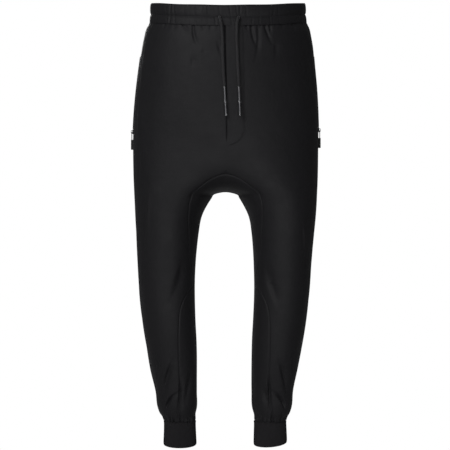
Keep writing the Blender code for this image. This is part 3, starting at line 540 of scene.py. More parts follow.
# the columns of a closed profile at even steps of its rows, along a cubic
def roundProfile(profile, count):
    steps = np.linspace(0, len(profile), count, endpoint=False)
    return [through(np.arange(len(profile) + 1), column, steps)[:, None] for column in looped(profile).T]


# a band closed both ways, such as a cuff or a waistband
def makeBand(name, grid, outward, finish):
    faces, corners = gridFaces(*grid.shape[:2], roundRows=True, roundColumns=True)
    u, v = runAlong(looped(grid[0])), runAlong(looped(grid[:, 0]))
    uv = np.stack([u[corners[1]], v[corners[0]]], axis=-1)
    return makePiece(name, grid.reshape(-1, 3), [faces], finish, [uv], flip=not facesOut(grid, outward))


# one small shape at many places, with its x, y and z along the three directions given for each
def makeCopies(name, shape, faceSets, centre, axes, finish, sharp=None):
    points = centre[:, None] + sum(shape[:, k:k + 1] * axes[k][:, None] for k in range(3))
    shift = (np.arange(len(centre)) * len(shape))[:, None, None]
    sets = [(faces + shift).reshape(-1, faces.shape[1]) for faces in faceSets]
    return makePiece(name, points.reshape(-1, 3), sets, finish, sharp=sharp)


# the piece moves with the garment and takes the place of this solid
def enter(piece, node=None):
    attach(piece, "garment")
    if node:
        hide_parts(node)
    return piece


# materials
def newMaterial(name, shaderValues):
    made = bpy.data.materials.new(name)
    made.use_nodes = True
    shader = made.node_tree.nodes["Principled BSDF"]
    for socket, value in shaderValues.items():
        shader.inputs[socket].default_value = value
    return made, shader


def addNode(made, kind, values=None, **settings):
    node = made.node_tree.nodes.new(kind)
    for key, value in settings.items():
        setattr(node, key, value)
    for socket, value in (values or {}).items():
        node.inputs[socket].default_value = value
    return node


def link(made, source, target):
    made.node_tree.links.new(source, target)


# math on one or two sockets or numbers
def calc(made, operation, first, second=None):
    node = addNode(made, "ShaderNodeMath", operation=operation)
    for k, given in enumerate((first, second)):
        if isinstance(given, (int, float)):
            node.inputs[k].default_value = given
        elif given is not None:
            link(made, given, node.inputs[k])
    return node.outputs[0]


def addNoise(made, place, scale, detail, **more):
    noise = addNode(made, "ShaderNodeTexNoise", {"Scale": scale, "Detail": detail, **more})
    link(made, place, noise.inputs["Vector"])
    return noise.outputs["Fac"]


def addBump(made, height, distance, normal=None):
    bump = addNode(made, "ShaderNodeBump", {"Strength": 1.0, "Distance": distance})
    link(made, height, bump.inputs["Height"])
    if normal:
        link(made, normal, bump.inputs["Normal"])
    return bump.outputs["Normal"]


# colour and roughness drift slowly over the piece, read in object coordinates
def addDrift(made, shader, colour, roughness, scale, amount):
    place = addNode(made, "ShaderNodeTexCoord").outputs["Object"]
    ramp = addNode(made, "ShaderNodeValToRGB")
    for element, position, share in zip(ramp.color_ramp.elements, (0.32, 0.68), (-1, 1)):
        element.position = position
        element.color = (*(c * (1 + share * amount) for c in colour), 1.0)
    link(made, addNoise(made, place, scale, 3.0), ramp.inputs["Fac"])
    link(made, ramp.outputs["Color"], shader.inputs["Base Color"])
    rough = addNode(made, "ShaderNodeMapRange", {
        "From Min": 0.3, "From Max": 0.7, "To Min": roughness - 0.05, "To Max": roughness + 0.05,
    })
    link(made, addNoise(made, place, scale * 6, 4.0), rough.inputs["Value"])
    link(made, rough.outputs["Result"], shader.inputs["Roughness"])
    return place


# threads as two crossing waves of the cloth's own metres, each sin(2 pi u / pitch), one turned by
# lean, over a soft crumple
def addThreads(made, shader, pitches, lean, height, place, crumple):
    split = addNode(made, "ShaderNodeSeparateXYZ")
    link(made, addNode(made, "ShaderNodeUVMap", uv_map="cloth").outputs["UV"], split.inputs[0])
    u, v = split.outputs[0], split.outputs[1]
    slanted = calc(made, "ADD", u, calc(made, "MULTIPLY", v, lean))
    warp, weft = (calc(made, "SINE", calc(made, "MULTIPLY", along, 2 * math.pi / pitch))
                  for along, pitch in zip((slanted, v), pitches))
    thread = calc(made, "MULTIPLY", calc(made, "ADD", warp, weft), 0.25)
    crumpled = addBump(made, addNoise(made, place, crumple[0], 3.0, Roughness=0.55), crumple[1])
    link(made, addBump(made, thread, height, crumpled), shader.inputs["Normal"])


def fabric(name, colour, roughness, sheen, specular, pitches, lean, height, crumple):
    made, shader = newMaterial(name, {
        "Sheen Weight": sheen, "Sheen Roughness": 0.45, "Specular IOR Level": specular,
        "Sheen Tint": (0.85, 0.86, 0.9, 1.0),
    })
    place = addDrift(made, shader, colour, roughness, 5.0, 0.07)
    addThreads(made, shader, pitches, lean, height, place, crumple)
    return made


# metal and plastic: a fine grain along the piece and small dents from wear
def hardFinish(name, colour, metallic, roughness, specular, stretch, scale, height):
    made, shader = newMaterial(name, {"Metallic": metallic, "Specular IOR Level": specular})
    place = addDrift(made, shader, colour, roughness, 60.0, 0.1)
    mapping = addNode(made, "ShaderNodeMapping", {"Scale": (1.0, 1.0, stretch)})
    link(made, place, mapping.inputs["Vector"])
    grain = addNoise(made, mapping.outputs["Vector"], scale, 5.0)
    link(made, addBump(made, grain, height), shader.inputs["Normal"])
    return made


# colour, roughness, sheen, specular, thread pitches, lean, thread height, crumple's scale and height
weave = (0.013, 0.0127, 0.0142), 0.56, 0.03, 0.16, (0.00052, 0.00046), 0.5, 0.00004
fabrics = {
    "stretchWeave": (*weave, (34.0, 0.0012)),
    "bandWeave": (*weave, (60.0, 0.0008)),
    "ribKnit": ((0.015, 0.0143, 0.0158), 0.85, 0.05, 0.14, (0.0012, 0.0011), 0.0, 0.0001, (90.0, 0.0004)),
    "braidedCord": ((0.015, 0.0145, 0.016), 0.62, 0.22, 0.3, (0.0007, 0.0006), 0.6, 0.00008, (120.0, 0.0003)),
    "zipTape": ((0.008, 0.0078, 0.0085), 0.7, 0.05, 0.2, (0.0008, 0.0006), 0.0, 0.00008, (80.0, 0.0003)),
    "sewingThread": ((0.0115, 0.0112, 0.0125), 0.6, 0.02, 0.12, (0.0003,) * 2, 1.0, 0.00003, (300.0, 0.0001)),
}
# colour, metallic, roughness, specular, and the grain's stretch along Z, scale and height
hardFinishes = {
    "satinMetal": ((0.21, 0.21, 0.22), 1.0, 0.33, 0.5, 0.1, 900.0, 0.00002),
    "darkMetal": ((0.11, 0.11, 0.115), 1.0, 0.34, 0.5, 0.3, 700.0, 0.00002),
    "wireMetal": ((0.22, 0.22, 0.225), 1.0, 0.3, 0.5, 0.3, 700.0, 0.00001),
    "pullRubber": ((0.0075, 0.0075, 0.008), 0.0, 0.55, 0.3, 1.0, 1100.0, 0.00006),
    "zipPlastic": ((0.009, 0.009, 0.0095), 0.0, 0.38, 0.45, 1.0, 800.0, 0.00002),
}
finishes = {name: fabric(name, *values) for name, values in fabrics.items()}
finishes.update({name: hardFinish(name, *values) for name, values in hardFinishes.items()})
print("materials made")


# drawcord: its route is x, height and how far its line stands off the cloth, before the waist dips
cordMake = {
    "width": 0.006, "step": 0.0065, "holeProud": 0.0016, "rows": 360, "around": 48,
    "strands": 8, "lay": 0.0042, "relief": 0.00028,
}
cordRoutes = {
    "right": tenths([
        (-132, -34, 0), (-127, -36, 65), (-112, -80, 105), (-88, -190, 94), (-72, -380, 66),
        (-58, -800, 56), (-42, -1250, 56), (-22, -1640, 60),
    ]),
    "left": tenths([
        (283, -34, 0), (279, -36, 65), (262, -84, 105), (247, -200, 98), (243, -400, 78), (256, -800, 70),
        (276, -1250, 70), (290, -1640, 74),
    ]),
}
# distance along the tip, radius
tipMake = {
    "sides": 40,
    "profile": tenths([
        (0, 30), (4, 33), (15, 34), (40, 33), (150, 31), (290, 31), (303, 31), (308, 40), (318, 42),
        (338, 42), (348, 40), (353, 31), (370, 31), (500, 32), (600, 33), (617, 32), (625, 27), (623, 20),
        (610, 18),
    ]),
}


# the cord's middle line: even steps along a cubic through its route
def cordLine(route, count=None):
    x, z, off = route.T
    x = x - sway(z)
    base = frontAt(x, z)
    base[:, 1] -= off
    base[0, 1] -= worn["gap"] + cordMake["holeProud"]
    base[1, 1] -= worn["gap"]
    run = runAlong(base)
    count = count or int(round(run[-1] / cordMake["step"])) + 1
    even = np.linspace(0.0, run[-1], count)
    return settle(np.stack([through(run, base[:, k], even) for k in range(3)], axis=-1)), even


# radius = half width less a relief, plus the relief times the higher of two crossing spirals
def makeCord(name):
    path, _ = cordLine(cordRoutes[name])
    line, run = cordLine(cordRoutes[name], cordMake["rows"])
    angle = circle(cordMake["around"])
    spiral = cordMake["strands"] * angle[None, :]
    lay = 2 * math.pi * run[:, None] / cordMake["lay"]
    weave = np.maximum(np.cos(spiral + lay), np.cos(spiral - lay))
    checks = np.cos((spiral + lay) / 2) * np.cos((spiral - lay) / 2)
    radius = cordMake["width"] / 2 - cordMake["relief"] * (1 - 0.75 * weave - 0.25 * np.abs(checks))
    grid = tubeGrid(line, np.array([1.0, 0.0, 0.0]), angle, radius)
    cord = enter(makeTube(f"cordDressed_{name}", grid, finishes["braidedCord"]), f"cord_{name}")
    tip = makeTip(name, path)
    length = float(runAlong(path)[-1])


# the metal end carries on from the cord: the profile turned about the cord's last direction
def makeTip(name, path):
    down = unit(path[-1] - path[-2])
    start = path[-1] + down * worn["gap"]
    run, radius = tipMake["profile"].T
    angle = circle(tipMake["sides"])
    first = unit(np.cross(down, [0.0, 1.0, 0.0]))
    second = np.cross(down, first)
    around = np.cos(angle)[:, None] * first + np.sin(angle)[:, None] * second
    grid = start + run[:, None, None] * down + radius[:, None, None] * around[None]
    tip = makeTube(f"tipDressed_{name}", grid, finishes["satinMetal"], sharp=40)
    return enter(tip, f"tip_{name}")


for name in sides:
    makeCord(name)
print("cords made")


# panels: rows down to the crotch, the knee and the ankle, and how near the edges the extra columns stand
panelMake = {
    "hipRows": 92, "thighRows": 92, "legRows": 112, "dense": 240, "crowd": 1.6,
    "edge": tenths([0, 6, 12, 18, 24, 31, 38, 45, 53, 61, 70]), "narrow": 0.045,
    "easeWidth": 0.02, "easeReach": 0.045, "still": 0.02,
}
# pucker and roll are shares, for the seams at the start, the end, the top and the bottom
cutPieces = {
    "front": {"columns": 150, "flat": (0.29, 0.96), "area": 0.175,
              "pucker": (1.0, 0.8, 0.4, 0.6), "roll": (1.3, 1.0, 0.35, 1.2)},
    "back": {"columns": 76, "flat": (0.36, 0.96), "area": 0.224,
             "pucker": (0.8, 1.0, 0.4, 0.6), "roll": (1.0, 1.3, 0.35, 1.2)},
    "gusset": {"columns": 52, "flat": (0.26, 0.64), "area": 0.0785, "pucker": 1.0, "roll": 1.3},
}
seamLines = {}


# the front panel's inner edge, as a turn round the leg
def seamTurn(z):
    top = np.degrees(turnAt(np.zeros(1), np.array([worn["apex"]])))
    archHeights = np.concatenate([[worn["apex"]], arch[:, 0]])
    onArch = through(archHeights, np.concatenate([top, arch[:, 1]]), z)
    onInseam = through(inseam[:, 0], inseam[:, 1], z)
    middle = np.degrees(turnAt(0.0 * z, z))
    below = np.where(z < worn["kneeTip"] - 1e-6, onInseam, onArch)
    return np.radians(np.where(z >= worn["apex"], middle, below))


def thighHeights():
    t = np.linspace(0.0, 1.0, panelMake["thighRows"] + 1)
    return worn["apex"] - (worn["apex"] - worn["kneeTip"]) * t ** panelMake["crowd"]


def panelHeights():
    return np.concatenate([
        np.linspace(worn["waistSeam"], worn["apex"], panelMake["hipRows"], endpoint=False),
        thighHeights(),
        np.linspace(worn["kneeTip"], worn["ankleSeam"], panelMake["legRows"] + 1)[1:],
    ])


# columns at even lengths along each row, with some at fixed small distances from both edges
def evenColumns(dense, columns):
    run = runAlong(dense, 1)
    whole = run[:, -1:]
    edge = panelMake["edge"] * np.minimum(1.0, whole / panelMake["narrow"])
    inner = np.linspace(0.0, 1.0, columns + 3 - 2 * len(panelMake["edge"]))[1:-1]
    first, last = edge[:, -1:], whole - edge[:, -1:]
    target = np.concatenate([edge, first + (last - first) * inner, whole - edge[:, ::-1]], axis=1)
    return np.array([pickAt(*row) for row in zip(target, run, dense)])


# down each column the rows are averaged with a bell curve round the crotch's height, so that the
# change from one ring to two doesn't show as a line; the panel's edges keep their places
def easeCrotch(grid):
    z = grid[:, 0, 2]
    weight = np.exp(-((z[:, None] - z[None]) / panelMake["easeWidth"]) ** 2) * np.abs(np.gradient(z))[None]
    soft = np.einsum("ij,jkl->ikl", weight / weight.sum(axis=1, keepdims=True), grid)
    near = smoothStep(1.5 - np.abs(z - worn["crotch"]) / panelMake["easeReach"])
    columns = grid.shape[1]
    k = np.arange(columns)
    inner = smoothStep((np.minimum(k, columns - 1 - k) - 4) / 12)
    share = near[:, None, None] * inner[None, :, None] * np.array([1.0, 1.0, 0.0])
    return grid + (soft - grid) * share


# outer and inner skins of a panel: surface + normal (swell - creases + seam shape - thickness)
def clothSkins(grid, strips):
    normal = unit(steepest(grid))
    z = grid[..., 2]
    still = (smoothStep((worn["waistSeam"] - z) / panelMake["still"])
             * smoothStep((z - worn["ankleSeam"]) / panelMake["still"]))
    out = swell(grid) * still - creaseDepth(grid) - centreDitch(grid) + seamShape(grid, strips)
    outer = grid + normal * out[..., None]
    return settle(outer), settle(outer - normal * worn["cloth"]), normal


# for each seam the rows and columns it touches, its line, and how much the cloth puckers and rolls
def panelStrips(grid, cut, plainTop):
    every = slice(None)
    first = slice(panelMake["hipRows"] - 1, None) if plainTop else every
    blocks = [(first, slice(14)), (every, slice(-14, None)), (slice(9), every), (slice(-9, None), every)]
    lines = [grid[first, 0], grid[:, -1], grid[0], grid[-1]]
    return [(*block, *rest) for block, *rest in zip(blocks, lines, cut["pucker"], cut["roll"])]


def makePanel(kind, name, start, end):
    cut, side, z = cutPieces[kind], sides[name], panelHeights()
    share = np.linspace(0.0, 1.0, panelMake["dense"])
    turn = start(z)[:, None] + (end(z) - start(z))[:, None] * share
    dense = surface(side, turn, z[:, None] + 0 * turn)
    dense[0, :, 2] -= worn["gap"] / 2
    grid = easeCrotch(evenColumns(dense, cut["columns"]))
    outer, inner, normal = clothSkins(grid, panelStrips(grid, cut, kind == "front"))
    piece = makeShell(f"{kind}Dressed_{name}", outer, inner, normal, finishes["stretchWeave"])
    enter(piece, f"{kind}_{name}")
    seamLines[f"{kind}_{name}"] = (outer, normal)


def halfTurn(z):
    return 0 * z + math.pi


def backEnd(z):
    turn = seamTurn(z)
    return 2 * math.pi + np.where(z < worn["kneeTip"] - 1e-6, turn, -turn)


for name in sides:
    makePanel("front", name, seamTurn, halfTurn)
    makePanel("back", name, halfTurn, backEnd)
print("panels made")


# the crotch panel: lines from the front seam under the crotch to the back seam. Each half starts as
# a quarter ellipse from the inside of the leg to the seam, and is then set on the surface.
def makeGusset():
    cut, heights = cutPieces["gusset"], thighHeights()
    turns = seamTurn(heights)
    t = np.linspace(0.0, 1.0, len(heights))
    low = worn["crotch"] - (worn["crotch"] - worn["kneeTip"]) * t ** 2
    arc = np.linspace(0.0, math.pi / 2, 60)
    grow = np.stack([1 - np.cos(arc), np.sin(arc), 1 - np.cos(arc)], axis=-1)
    halves = []
    for side in (-1.0, 1.0):
        inner = surface(side, np.zeros_like(low), low)
        lines = []
        for turned in (turns, 2 * math.pi - turns):
            seam = surface(side, turned, heights)
            line = ontoSurface(inner[:, None] + (seam - inner)[:, None] * grow, 12)
            line[:, -1] = seam
            lines.append(line)
        halves.append(np.concatenate([lines[0][:, ::-1], lines[1][:, 1:]], axis=1))
        halves[-1][0, :, 0] = 0.0
    grid = evenColumns(np.concatenate([halves[0][::-1], halves[1][1:]]), cut["columns"])
    ends = {0: slice(0, 12), -1: slice(-12, None)}
    strips = [(slice(None), place, grid[:, k], cut["pucker"], cut["roll"]) for k, place in ends.items()]
    outer, inner, normal = clothSkins(grid, strips)
    piece = makeShell("gussetDressed", outer, inner, normal, finishes["stretchWeave"])
    enter(piece, "gusset")


makeGusset()
print("crotch panel made")


# waistband: round its profile, height, how far it stands out, how much of a gather it takes
bandMake = {
    "columns": 960, "rows": 52, "dense": 2401, "thick": 0.0012,
    "gathers": 64, "depth": (0.0004, 0.0012), "width": 0.0023, "lean": 0.14,
    "flat": (0.935, 0.046), "area": 0.043,
}
bandProfile = np.array([
    (-0.02135, 0.0, 0.35), (-0.0196, 0.0004, 0.7), (-0.016, 0.001, 1.0), (-0.0125, 0.0013, 1.0),
    (-0.0085, 0.0012, 1.0), (-0.0052, 0.0003, 0.9), (-0.0034, -0.0006, 0.7), (-0.0016, 0.0003, 0.9),
    (0.0032, 0.0014, 1.0), (0.009, 0.0017, 1.0), (0.0144, 0.0015, 1.0), (0.0191, 0.0009, 0.8),
    (0.0218, -0.0002, 0.5), (0.0227, -0.0015, 0.2), (0.0218, -0.0027, 0.0), (0.0196, -0.0031, 0.0),
    (-0.0034, -0.0031, 0.0), (-0.0206, -0.0031, 0.0), (-0.02135, -0.0024, 0.0), (-0.02135, -0.001, 0.1),
])


# points of the waist oval and their outward directions, at even lengths round it
def waistOval(count, z):
    turn = np.linspace(0.0, 2 * math.pi, bandMake["dense"])
    _, half, middle, depth, _ = ring(np.array([z]))
    oval = np.stack([half * np.cos(turn), depth * np.sin(turn)], axis=-1) * reach(turn)[:, None]
    oval[:, 1] += middle
    run = runAlong(oval)
    even = np.arange(count) * run[-1] / count
    points = np.concatenate([pickAt(even, run, oval), np.full((count, 1), z)], axis=1)
    return points, unit(steepest(points)), even, run[-1]


# out = profile - gather share x sum of troughs, each leaning and fading towards its own end
def makeWaistband():
    z, proud, share = roundProfile(bandProfile, bandMake["rows"])
    base, normal, run, whole = waistOval(bandMake["columns"], 0.0)
    count = bandMake["gathers"]
    spot = (np.arange(count) + dice.uniform(-0.38, 0.38, count)) * whole / count
    deep = dice.uniform(*bandMake["depth"], count)
    lean = dice.uniform(-bandMake["lean"], bandMake["lean"], count)
    upper, lower = dice.uniform(0.15, 1.0, count), dice.uniform(0.15, 1.0, count)
    total = np.zeros((len(z), bandMake["columns"]))
    for k in range(count):
        off = (run - spot[k] - lean[k] * z + whole / 2) % whole - whole / 2
        strength = lower[k] + (upper[k] - lower[k]) * smoothStep((z + 0.0075) / 0.008)
        total += deep[k] * strength * trough(off / (bandMake["width"] * (0.8 + 0.5 * upper[k])))
    bulge = ring(z)[1] - ring(np.zeros(1))[1]
    grid = base[None] + normal[None] * (proud + bulge - share * total)[..., None]
    grid[..., 2] = z + 0.0003 * np.sin(run * 61) * smoothStep((z - 0.012) / 0.009)
    middle = base - normal * bandMake["thick"]
    outward = (grid - middle) * np.array([1, 1, 0.05])
    grid = settle(grid)
    piece = enter(makeBand("waistbandDressed", grid, outward, finishes["bandWeave"]), "waistband")
    return grid, normal, z[:, 0]


bandGrid, bandNormal, bandHeights = makeWaistband()
print("waistband made")


# cuffs: round the profile, height, radius and share of the ribs
cuffMake = {
    "ribs": 96, "perRib": 6, "rib": 0.0007, "sharp": 0.8, "tilt": 0.085, "hem": -0.974, "rows": 44,
    "flat": (0.228, 0.056), "area": 0.0126, "core": 0.0345, "slack": 0.0005, "wander": 0.12,
    "puckers": 34, "pucker": 0.0007, "puckerReach": 0.008,
    "lean": {"right": 0.0, "left": 0.08}, "shorter": {"right": 0.0, "left": 0.0022},
}
cuffProfile = np.array([
    (-0.9195, 0.0346, 0.3), (-0.9212, 0.0358, 0.8), (-0.9235, 0.0357, 0.9), (-0.93, 0.0357, 1.0),
    (-0.945, 0.0363, 1.0), (-0.96, 0.0371, 1.0), (-0.969, 0.0374, 1.0), (-0.9728, 0.037, 0.9),
    (-0.974, 0.0362, 0.6), (-0.9735, 0.0354, 0.3), (-0.9715, 0.035, 0.1), (-0.945, 0.0338, 0.0),
    (-0.9215, 0.0329, 0.0), (-0.9196, 0.0331, 0.0), (-0.9193, 0.0338, 0.1),
])


# radius = profile + rib x (1 + cos(ribs x turn)) / 2, with small puckers under the seam
def makeCuff(name, side):
    z, radius, share = roundProfile(cuffProfile, cuffMake["rows"])
    turn = circle(cuffMake["ribs"] * cuffMake["perRib"])
    wander = cuffMake["wander"] * np.sin(3 * turn + side) * (z + 0.92) / 0.05
    ribbed = ((1 + np.cos(cuffMake["ribs"] * turn + wander)) / 2) ** cuffMake["sharp"]
    near = smoothStep(1 - (worn["ankleSeam"] - z) / cuffMake["puckerReach"])
    lift = cuffMake["pucker"] * np.cos(cuffMake["puckers"] * turn + 1.3 * np.sin(2 * turn)) * near
    slack = cuffMake["slack"] * np.sin(2 * turn + 40 * z + side) * np.minimum(1, share)
    wide = radius + share * (cuffMake["rib"] * ribbed + lift + slack)
    middle = ring(np.array([worn["ankleSeam"]]))[2][0]
    down = (worn["ankleSeam"] - z) / (worn["ankleSeam"] - cuffMake["hem"])
    slope = cuffMake["tilt"] * np.sin(turn) + cuffMake["lean"][name] * side * np.cos(turn)
    height = z + cuffMake["shorter"][name] * down + down * wide * slope
    across, deep = side * worn["cuffX"], np.stack([np.cos(turn), np.sin(turn)], axis=-1)
    grid = np.concatenate([wide[..., None] * deep + [across, middle], height[..., None]], axis=-1)
    outward = grid * np.array([1, 1, 0.0])
    outward[..., :2] -= cuffMake["core"] * deep + [across, middle]
    grid = settle(grid)
    piece = enter(makeBand(f"cuffDressed_{name}", grid, outward, finishes["ribKnit"]), f"cuff_{name}")
    return grid


cuffGrids = {name: makeCuff(name, side) for name, side in sides.items()}
print("cuffs made")


# mock fly: a ply on the wearer's left front, straight down, then a quarter round in to the centre
flyMake = {
    "width": 0.038, "straight": -0.262, "bottom": centreLine["bottom"], "end": 0.985,
    "straightRows": 70, "roundRows": 41, "edge": (0.004, 0.005), "lift": 0.0006, "ply": 0.001,
    "columns": np.array([0.0, 0.012, 0.03, 0.06, *np.linspace(0.1, 0.9, 23), 0.94, 0.97, 0.988, 1.0]),
    "flat": (0.04, 0.286), "area": 0.01,
}


def makeFly():
    straight, bottom, share = flyMake["straight"], flyMake["bottom"], flyMake["columns"]
    top = worn["waistSeam"] - worn["gap"]
    z = np.concatenate([
        np.linspace(top, straight, flyMake["straightRows"], endpoint=False),
        straight - (straight - bottom) * np.sin(np.linspace(0, math.pi / 2, flyMake["roundRows"])),
    ])[:, None]
    down = np.clip((straight - z) / (straight - bottom), 0.0, flyMake["end"])
    width = flyMake["width"] * np.sqrt(1 - down ** 2)
    x = flyLine(z) + width * share - sway(z)
    grid = frontAt(x, z + 0 * x)
    normal = unit(steepest(grid))
    fromEdge = np.minimum(share * flyMake["width"] / flyMake["edge"][0], 1)
    toEdge = smoothStep((1 - share) * width / flyMake["edge"][1])
    thick = flyMake["ply"] * (0.9 + 0.1 * fromEdge) * (0.35 + 0.65 * toEdge)
    base = flyMake["lift"] - creaseDepth(grid)
    base = base + swell(grid) * smoothStep((worn["waistSeam"] - z) / panelMake["still"])
    outer, inner = (settle(grid + normal * out[..., None]) for out in (base + thick, base))
    piece = enter(makeShell("flyDressed", outer, inner, normal, finishes["stretchWeave"]), "fly")
    return outer, normal


flyGrid, flyNormal = makeFly()
print("fly made")


# zips on the side seams: a tape, and two rows of moulded teeth that lock between each other. A tooth
# is a flat bar whose inner end is wider, in shares of its length, height and thickness.
zipMake = {
    "top": -0.098, "half": 0.0055, "lift": 0.0005, "tape": 0.0006, "raised": 0.0001,
    "rows": 80, "columns": 14, "slider": {"right": -0.265, "left": -0.261}, "sliderHeight": 0.0092,
    "pitch": 0.00155, "tooth": np.array([0.0026, 0.0009, 0.0011]), "root": np.array([0.22, 0.0, 0.0]),
    "shape": np.array([
        (0.0, -0.5, -0.5), (0.35, -0.62, -0.5), (1.0, -0.34, -0.5),
        (1.0, 0.34, -0.5), (0.35, 0.62, -0.5), (0.0, 0.5, -0.5),
        (0.06, -0.4, 0.5), (0.35, -0.5, 0.5), (0.94, -0.26, 0.5),
        (0.94, 0.26, 0.5), (0.35, 0.5, 0.5), (0.06, 0.4, 0.5),
    ]),
    "flat": (0.011, 0.164), "area": 0.0018,
}


def makeZip(name, side):
    bottom = zipMake["slider"][name] + zipMake["sliderHeight"] / 2 + worn["gap"]
    z = np.linspace(zipMake["top"], bottom, zipMake["rows"])
    across = np.linspace(-1.0, 1.0, zipMake["columns"])
    turn = math.pi + across * zipMake["half"] / ring(z)[3][:, None]
    grid = surface(side, turn, z[:, None] + 0 * turn)
    normal = unit(steepest(grid))
    base = zipMake["lift"] - creaseDepth(grid)
    thick = zipMake["tape"] + zipMake["raised"] * (np.abs(across) < 0.75)
    outer, inner = (settle(grid + normal * out[..., None]) for out in (base + thick, base))
    tape = makeShell(f"zipTape_{name}", outer, inner, normal, finishes["zipTape"])
    enter(tape, f"zip_{name}")
    teeth = 2 * int((zipMake["top"] - bottom) / zipMake["pitch"])
    height = zipMake["top"] - (np.arange(teeth) + 0.5) * zipMake["pitch"] / 2
    swing = np.where(np.arange(teeth) % 2 == 0, -1.0, 1.0)
    spot = surface(side, np.full(teeth, math.pi), height)
    up = unit(steepest(spot))
    proud = zipMake["lift"] + zipMake["tape"] + zipMake["tooth"][2] / 2 - creaseDepth(spot)
    sideways = np.stack([0 * swing, swing, 0 * swing], axis=-1)
    sideFaces = np.array([(k, (k + 1) % 6, (k + 1) % 6 + 6, k + 6) for k in range(6)])
    ends = np.array([(5, 4, 3, 2, 1, 0), (6, 7, 8, 9, 10, 11)])
    tooth = (zipMake["shape"] - zipMake["root"]) * zipMake["tooth"]
    axes = sideways, np.cross(up, sideways), up
    enter(makeCopies(f"zipTeeth_{name}", tooth, [sideFaces, ends], settle(spot + up * proud[:, None]), axes,
                     finishes["zipPlastic"], sharp=30))


for name, side in sides.items():
    makeZip(name, side)
print("zips made")


# sliders, loops and pull tabs keep their solids' shapes and get their own finish
def dress(node, finish):
    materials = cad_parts[node].data.materials
    materials.clear()
    materials.append(finishes[finish])


for name in sides:
    dress(f"slider_{name}", "darkMetal")
    dress(f"loop_{name}", "wireMetal")
    dress(f"tab_{name}", "pullRubber")


# topstitching: each stitch is a bar of rings of five, with their places along it, radii and heights
stitchMake = {
    "pitch": 0.0031, "length": 0.0025, "radius": 0.00018, "lift": 0.00005, "ahead": 2e-4, "around": 5,
    "rings": np.array([(-0.5, 0.25, -0.7), (-0.36, 0.85, -0.1), (0.0, 1.0, 0.1), (0.36, 0.85, -0.1),
                       (0.5, 0.25, -0.7)]),
    "seam": 0.0016, "fly": (0.0022, 0.0052), "band": (-0.0034, -0.0186), "zip": 0.0078,
    "cuffRow": 3, "cuffLift": 0.0003, "zipLift": 0.0002,
}


# where stitches lie along a line at even steps, and the three directions of each
def stitchLine(line, outward):
    line = line + outward * stitchMake["lift"]
    run = runAlong(line)
    count = max(2, int(run[-1] / stitchMake["pitch"]))
    at = (np.arange(count) + 0.5) * run[-1] / count
    up = unit(pickAt(at, run, outward))
    ahead, behind = (pickAt(at + step * stitchMake["ahead"], run, line) for step in (1, -1))
    forward = unit(ahead - behind)
    return pickAt(at, run, line), forward, np.cross(up, forward), up


# a line at a fixed distance from a grid's first column, found between its columns
def besideEdge(grid, normal, away):
    run = runAlong(grid, 1)
    line, out = (np.array([pickAt(away, *row) for row in zip(run, part)]) for part in (grid, normal))
    return stitchLine(line, unit(out))


def besideSeam(node, rows, order=1):
    return besideEdge(*(part[rows, ::order] for part in seamLines[node]), stitchMake["seam"])


def makeTopstitch():
    lines = []
    hip, thigh = panelMake["hipRows"], panelMake["hipRows"] + panelMake["thighRows"]
    for name in sides:
        lines.append(besideSeam(f"front_{name}", slice(hip + 6, thigh - 3)))
        lines.append(besideSeam(f"back_{name}", slice(hip + 6, thigh - 3), order=-1))
        lines.append(besideSeam(f"front_{name}", slice(thigh + 4, None)))
    # two rows round the mock fly's outer edge, where it is wide enough
    for away in stitchMake["fly"]:
        wide = runAlong(flyGrid, 1)[:, -1] > away * 1.25
        lines.append(besideEdge(flyGrid[wide, ::-1], flyNormal[wide, ::-1], away))
    # round the waistband between its tunnels and just above its seam, on the outer half of its profile
    for height in stitchMake["band"]:
        k = np.abs(bandHeights[:bandMake["rows"] // 2] - height).argmin()
        lines.append(stitchLine(looped(bandGrid[k]), looped(bandNormal)))
    # round the top of each cuff
    for grid in cuffGrids.values():
        top = grid[stitchMake["cuffRow"]]
        line = looped(top)[::8]
        out = unit((line - top.mean(axis=0)) * np.array([1, 1, 0.0]))
        lines.append(stitchLine(line + out * stitchMake["cuffLift"], out))
    # either side of each zip
    for name, side in sides.items():
        z = np.linspace(zipMake["top"] + 0.006, zipMake["slider"][name] - 0.008, 60)
        for lean in (-1, 1):
            spot = surface(side, math.pi + lean * stitchMake["zip"] / ring(z)[3], z)
            up = unit(steepest(spot))
            proud = stitchMake["zipLift"] - creaseDepth(spot)
            lines.append(stitchLine(settle(spot + up * proud[:, None]), up))
    along, thick, sink = stitchMake["rings"].T[..., None]
    around, radius = stitchMake["around"], stitchMake["radius"]
    angle = circle(around)
    shape = np.stack([along * stitchMake["length"] + 0 * angle, thick * radius * np.cos(angle),
                      thick * radius * np.sin(angle) + sink * radius], axis=-1)
    faces, _ = gridFaces(len(along), around, roundColumns=True)
    ends = np.array([[4, 3, 2, 1, 0], [20, 21, 22, 23, 24]])
    centre, *axes = (np.concatenate(part) for part in zip(*lines))
    shape = shape.reshape(-1, 3)
    enter(makeCopies("topstitch", shape, [faces, ends], centre, axes, finishes["sewingThread"]))


makeTopstitch()
print("stitches made")


# floor and lights: a wide pale floor in a white room that itself gives little light, a big soft light
# from the upper left in front, a weaker one low in front, and one from behind for the back
studio = {
    "floorHeight": -1.06, "floorHalf": 14.0, "floorColour": (0.45, 0.45, 0.45, 1.0),
    "white": (1.0, 1.0, 1.0, 1.0), "seen": 1.0, "given": 0.08,
}


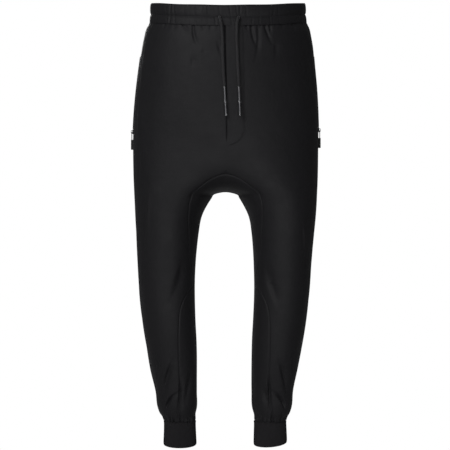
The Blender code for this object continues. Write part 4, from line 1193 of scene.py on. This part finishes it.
# a light that the camera sees at one strength and everything else at another
def roomLight(made, target, other=None):
    kind = "ShaderNodeEmission" if other else "ShaderNodeBackground"
    seen = addNode(made, kind, {"Color": studio["white"], "Strength": studio["seen"]}).outputs[0]
    if other is None:
        other = addNode(made, kind, {"Color": studio["white"], "Strength": studio["given"]}).outputs[0]
    mix = addNode(made, "ShaderNodeMixShader")
    ray = addNode(made, "ShaderNodeLightPath").outputs["Is Camera Ray"]
    for k, source in enumerate((ray, other, seen)):
        link(made, source, mix.inputs[k])
    link(made, mix.outputs[0], target)


def makeStudio():
    half, low = studio["floorHalf"], studio["floorHeight"]
    mesh = bpy.data.meshes.new("floor")
    corners = [(-half, -half, low), (half, -half, low), (half, half, low), (-half, half, low)]
    mesh.from_pydata(corners, [], [(0, 1, 2, 3)])
    floor = bpy.data.objects.new("floor", mesh)
    made, shader = newMaterial("paleFloor", {
        "Base Color": studio["floorColour"], "Roughness": 0.9, "Specular IOR Level": 0.1,
    })
    roomLight(made, made.node_tree.nodes["Material Output"].inputs["Surface"], shader.outputs[0])
    mesh.materials.append(made)
    bpy.context.scene.collection.objects.link(floor)
    world = bpy.data.worlds.new("room")
    world.use_nodes = True
    roomLight(world, world.node_tree.nodes["World Output"].inputs["Surface"])
    bpy.context.scene.world = world


# lamps: place, where it points, width, height, watts
lamps = {
    "key": ((-1.3, -2.3, 1.2), (0.0, 0.0, -0.2), 1.3, 1.3, 42.0),
    "front": ((0.1, -2.1, -0.78), (0.0, 0.0, -0.76), 1.2, 0.6, 12.5),
    "back": ((-0.5, 2.7, 1.0), (0.0, 0.0, -0.45), 1.3, 1.3, 34.0),
}


def makeLamps():
    for name, (place, target, width, height, watts) in lamps.items():
        data = bpy.data.lights.new(name, "AREA")
        data.shape = "RECTANGLE"
        data.size, data.size_y, data.energy = width, height, watts
        lamp = bpy.data.objects.new(name, data)
        lamp.location = place
        aim = Vector(target) - Vector(place)
        lamp.rotation_euler = aim.to_track_quat("-Z", "Y").to_euler()
        bpy.context.scene.collection.objects.link(lamp)


makeStudio()
makeLamps()
bpy.context.scene.view_settings.view_transform = "Standard"
print("studio made")
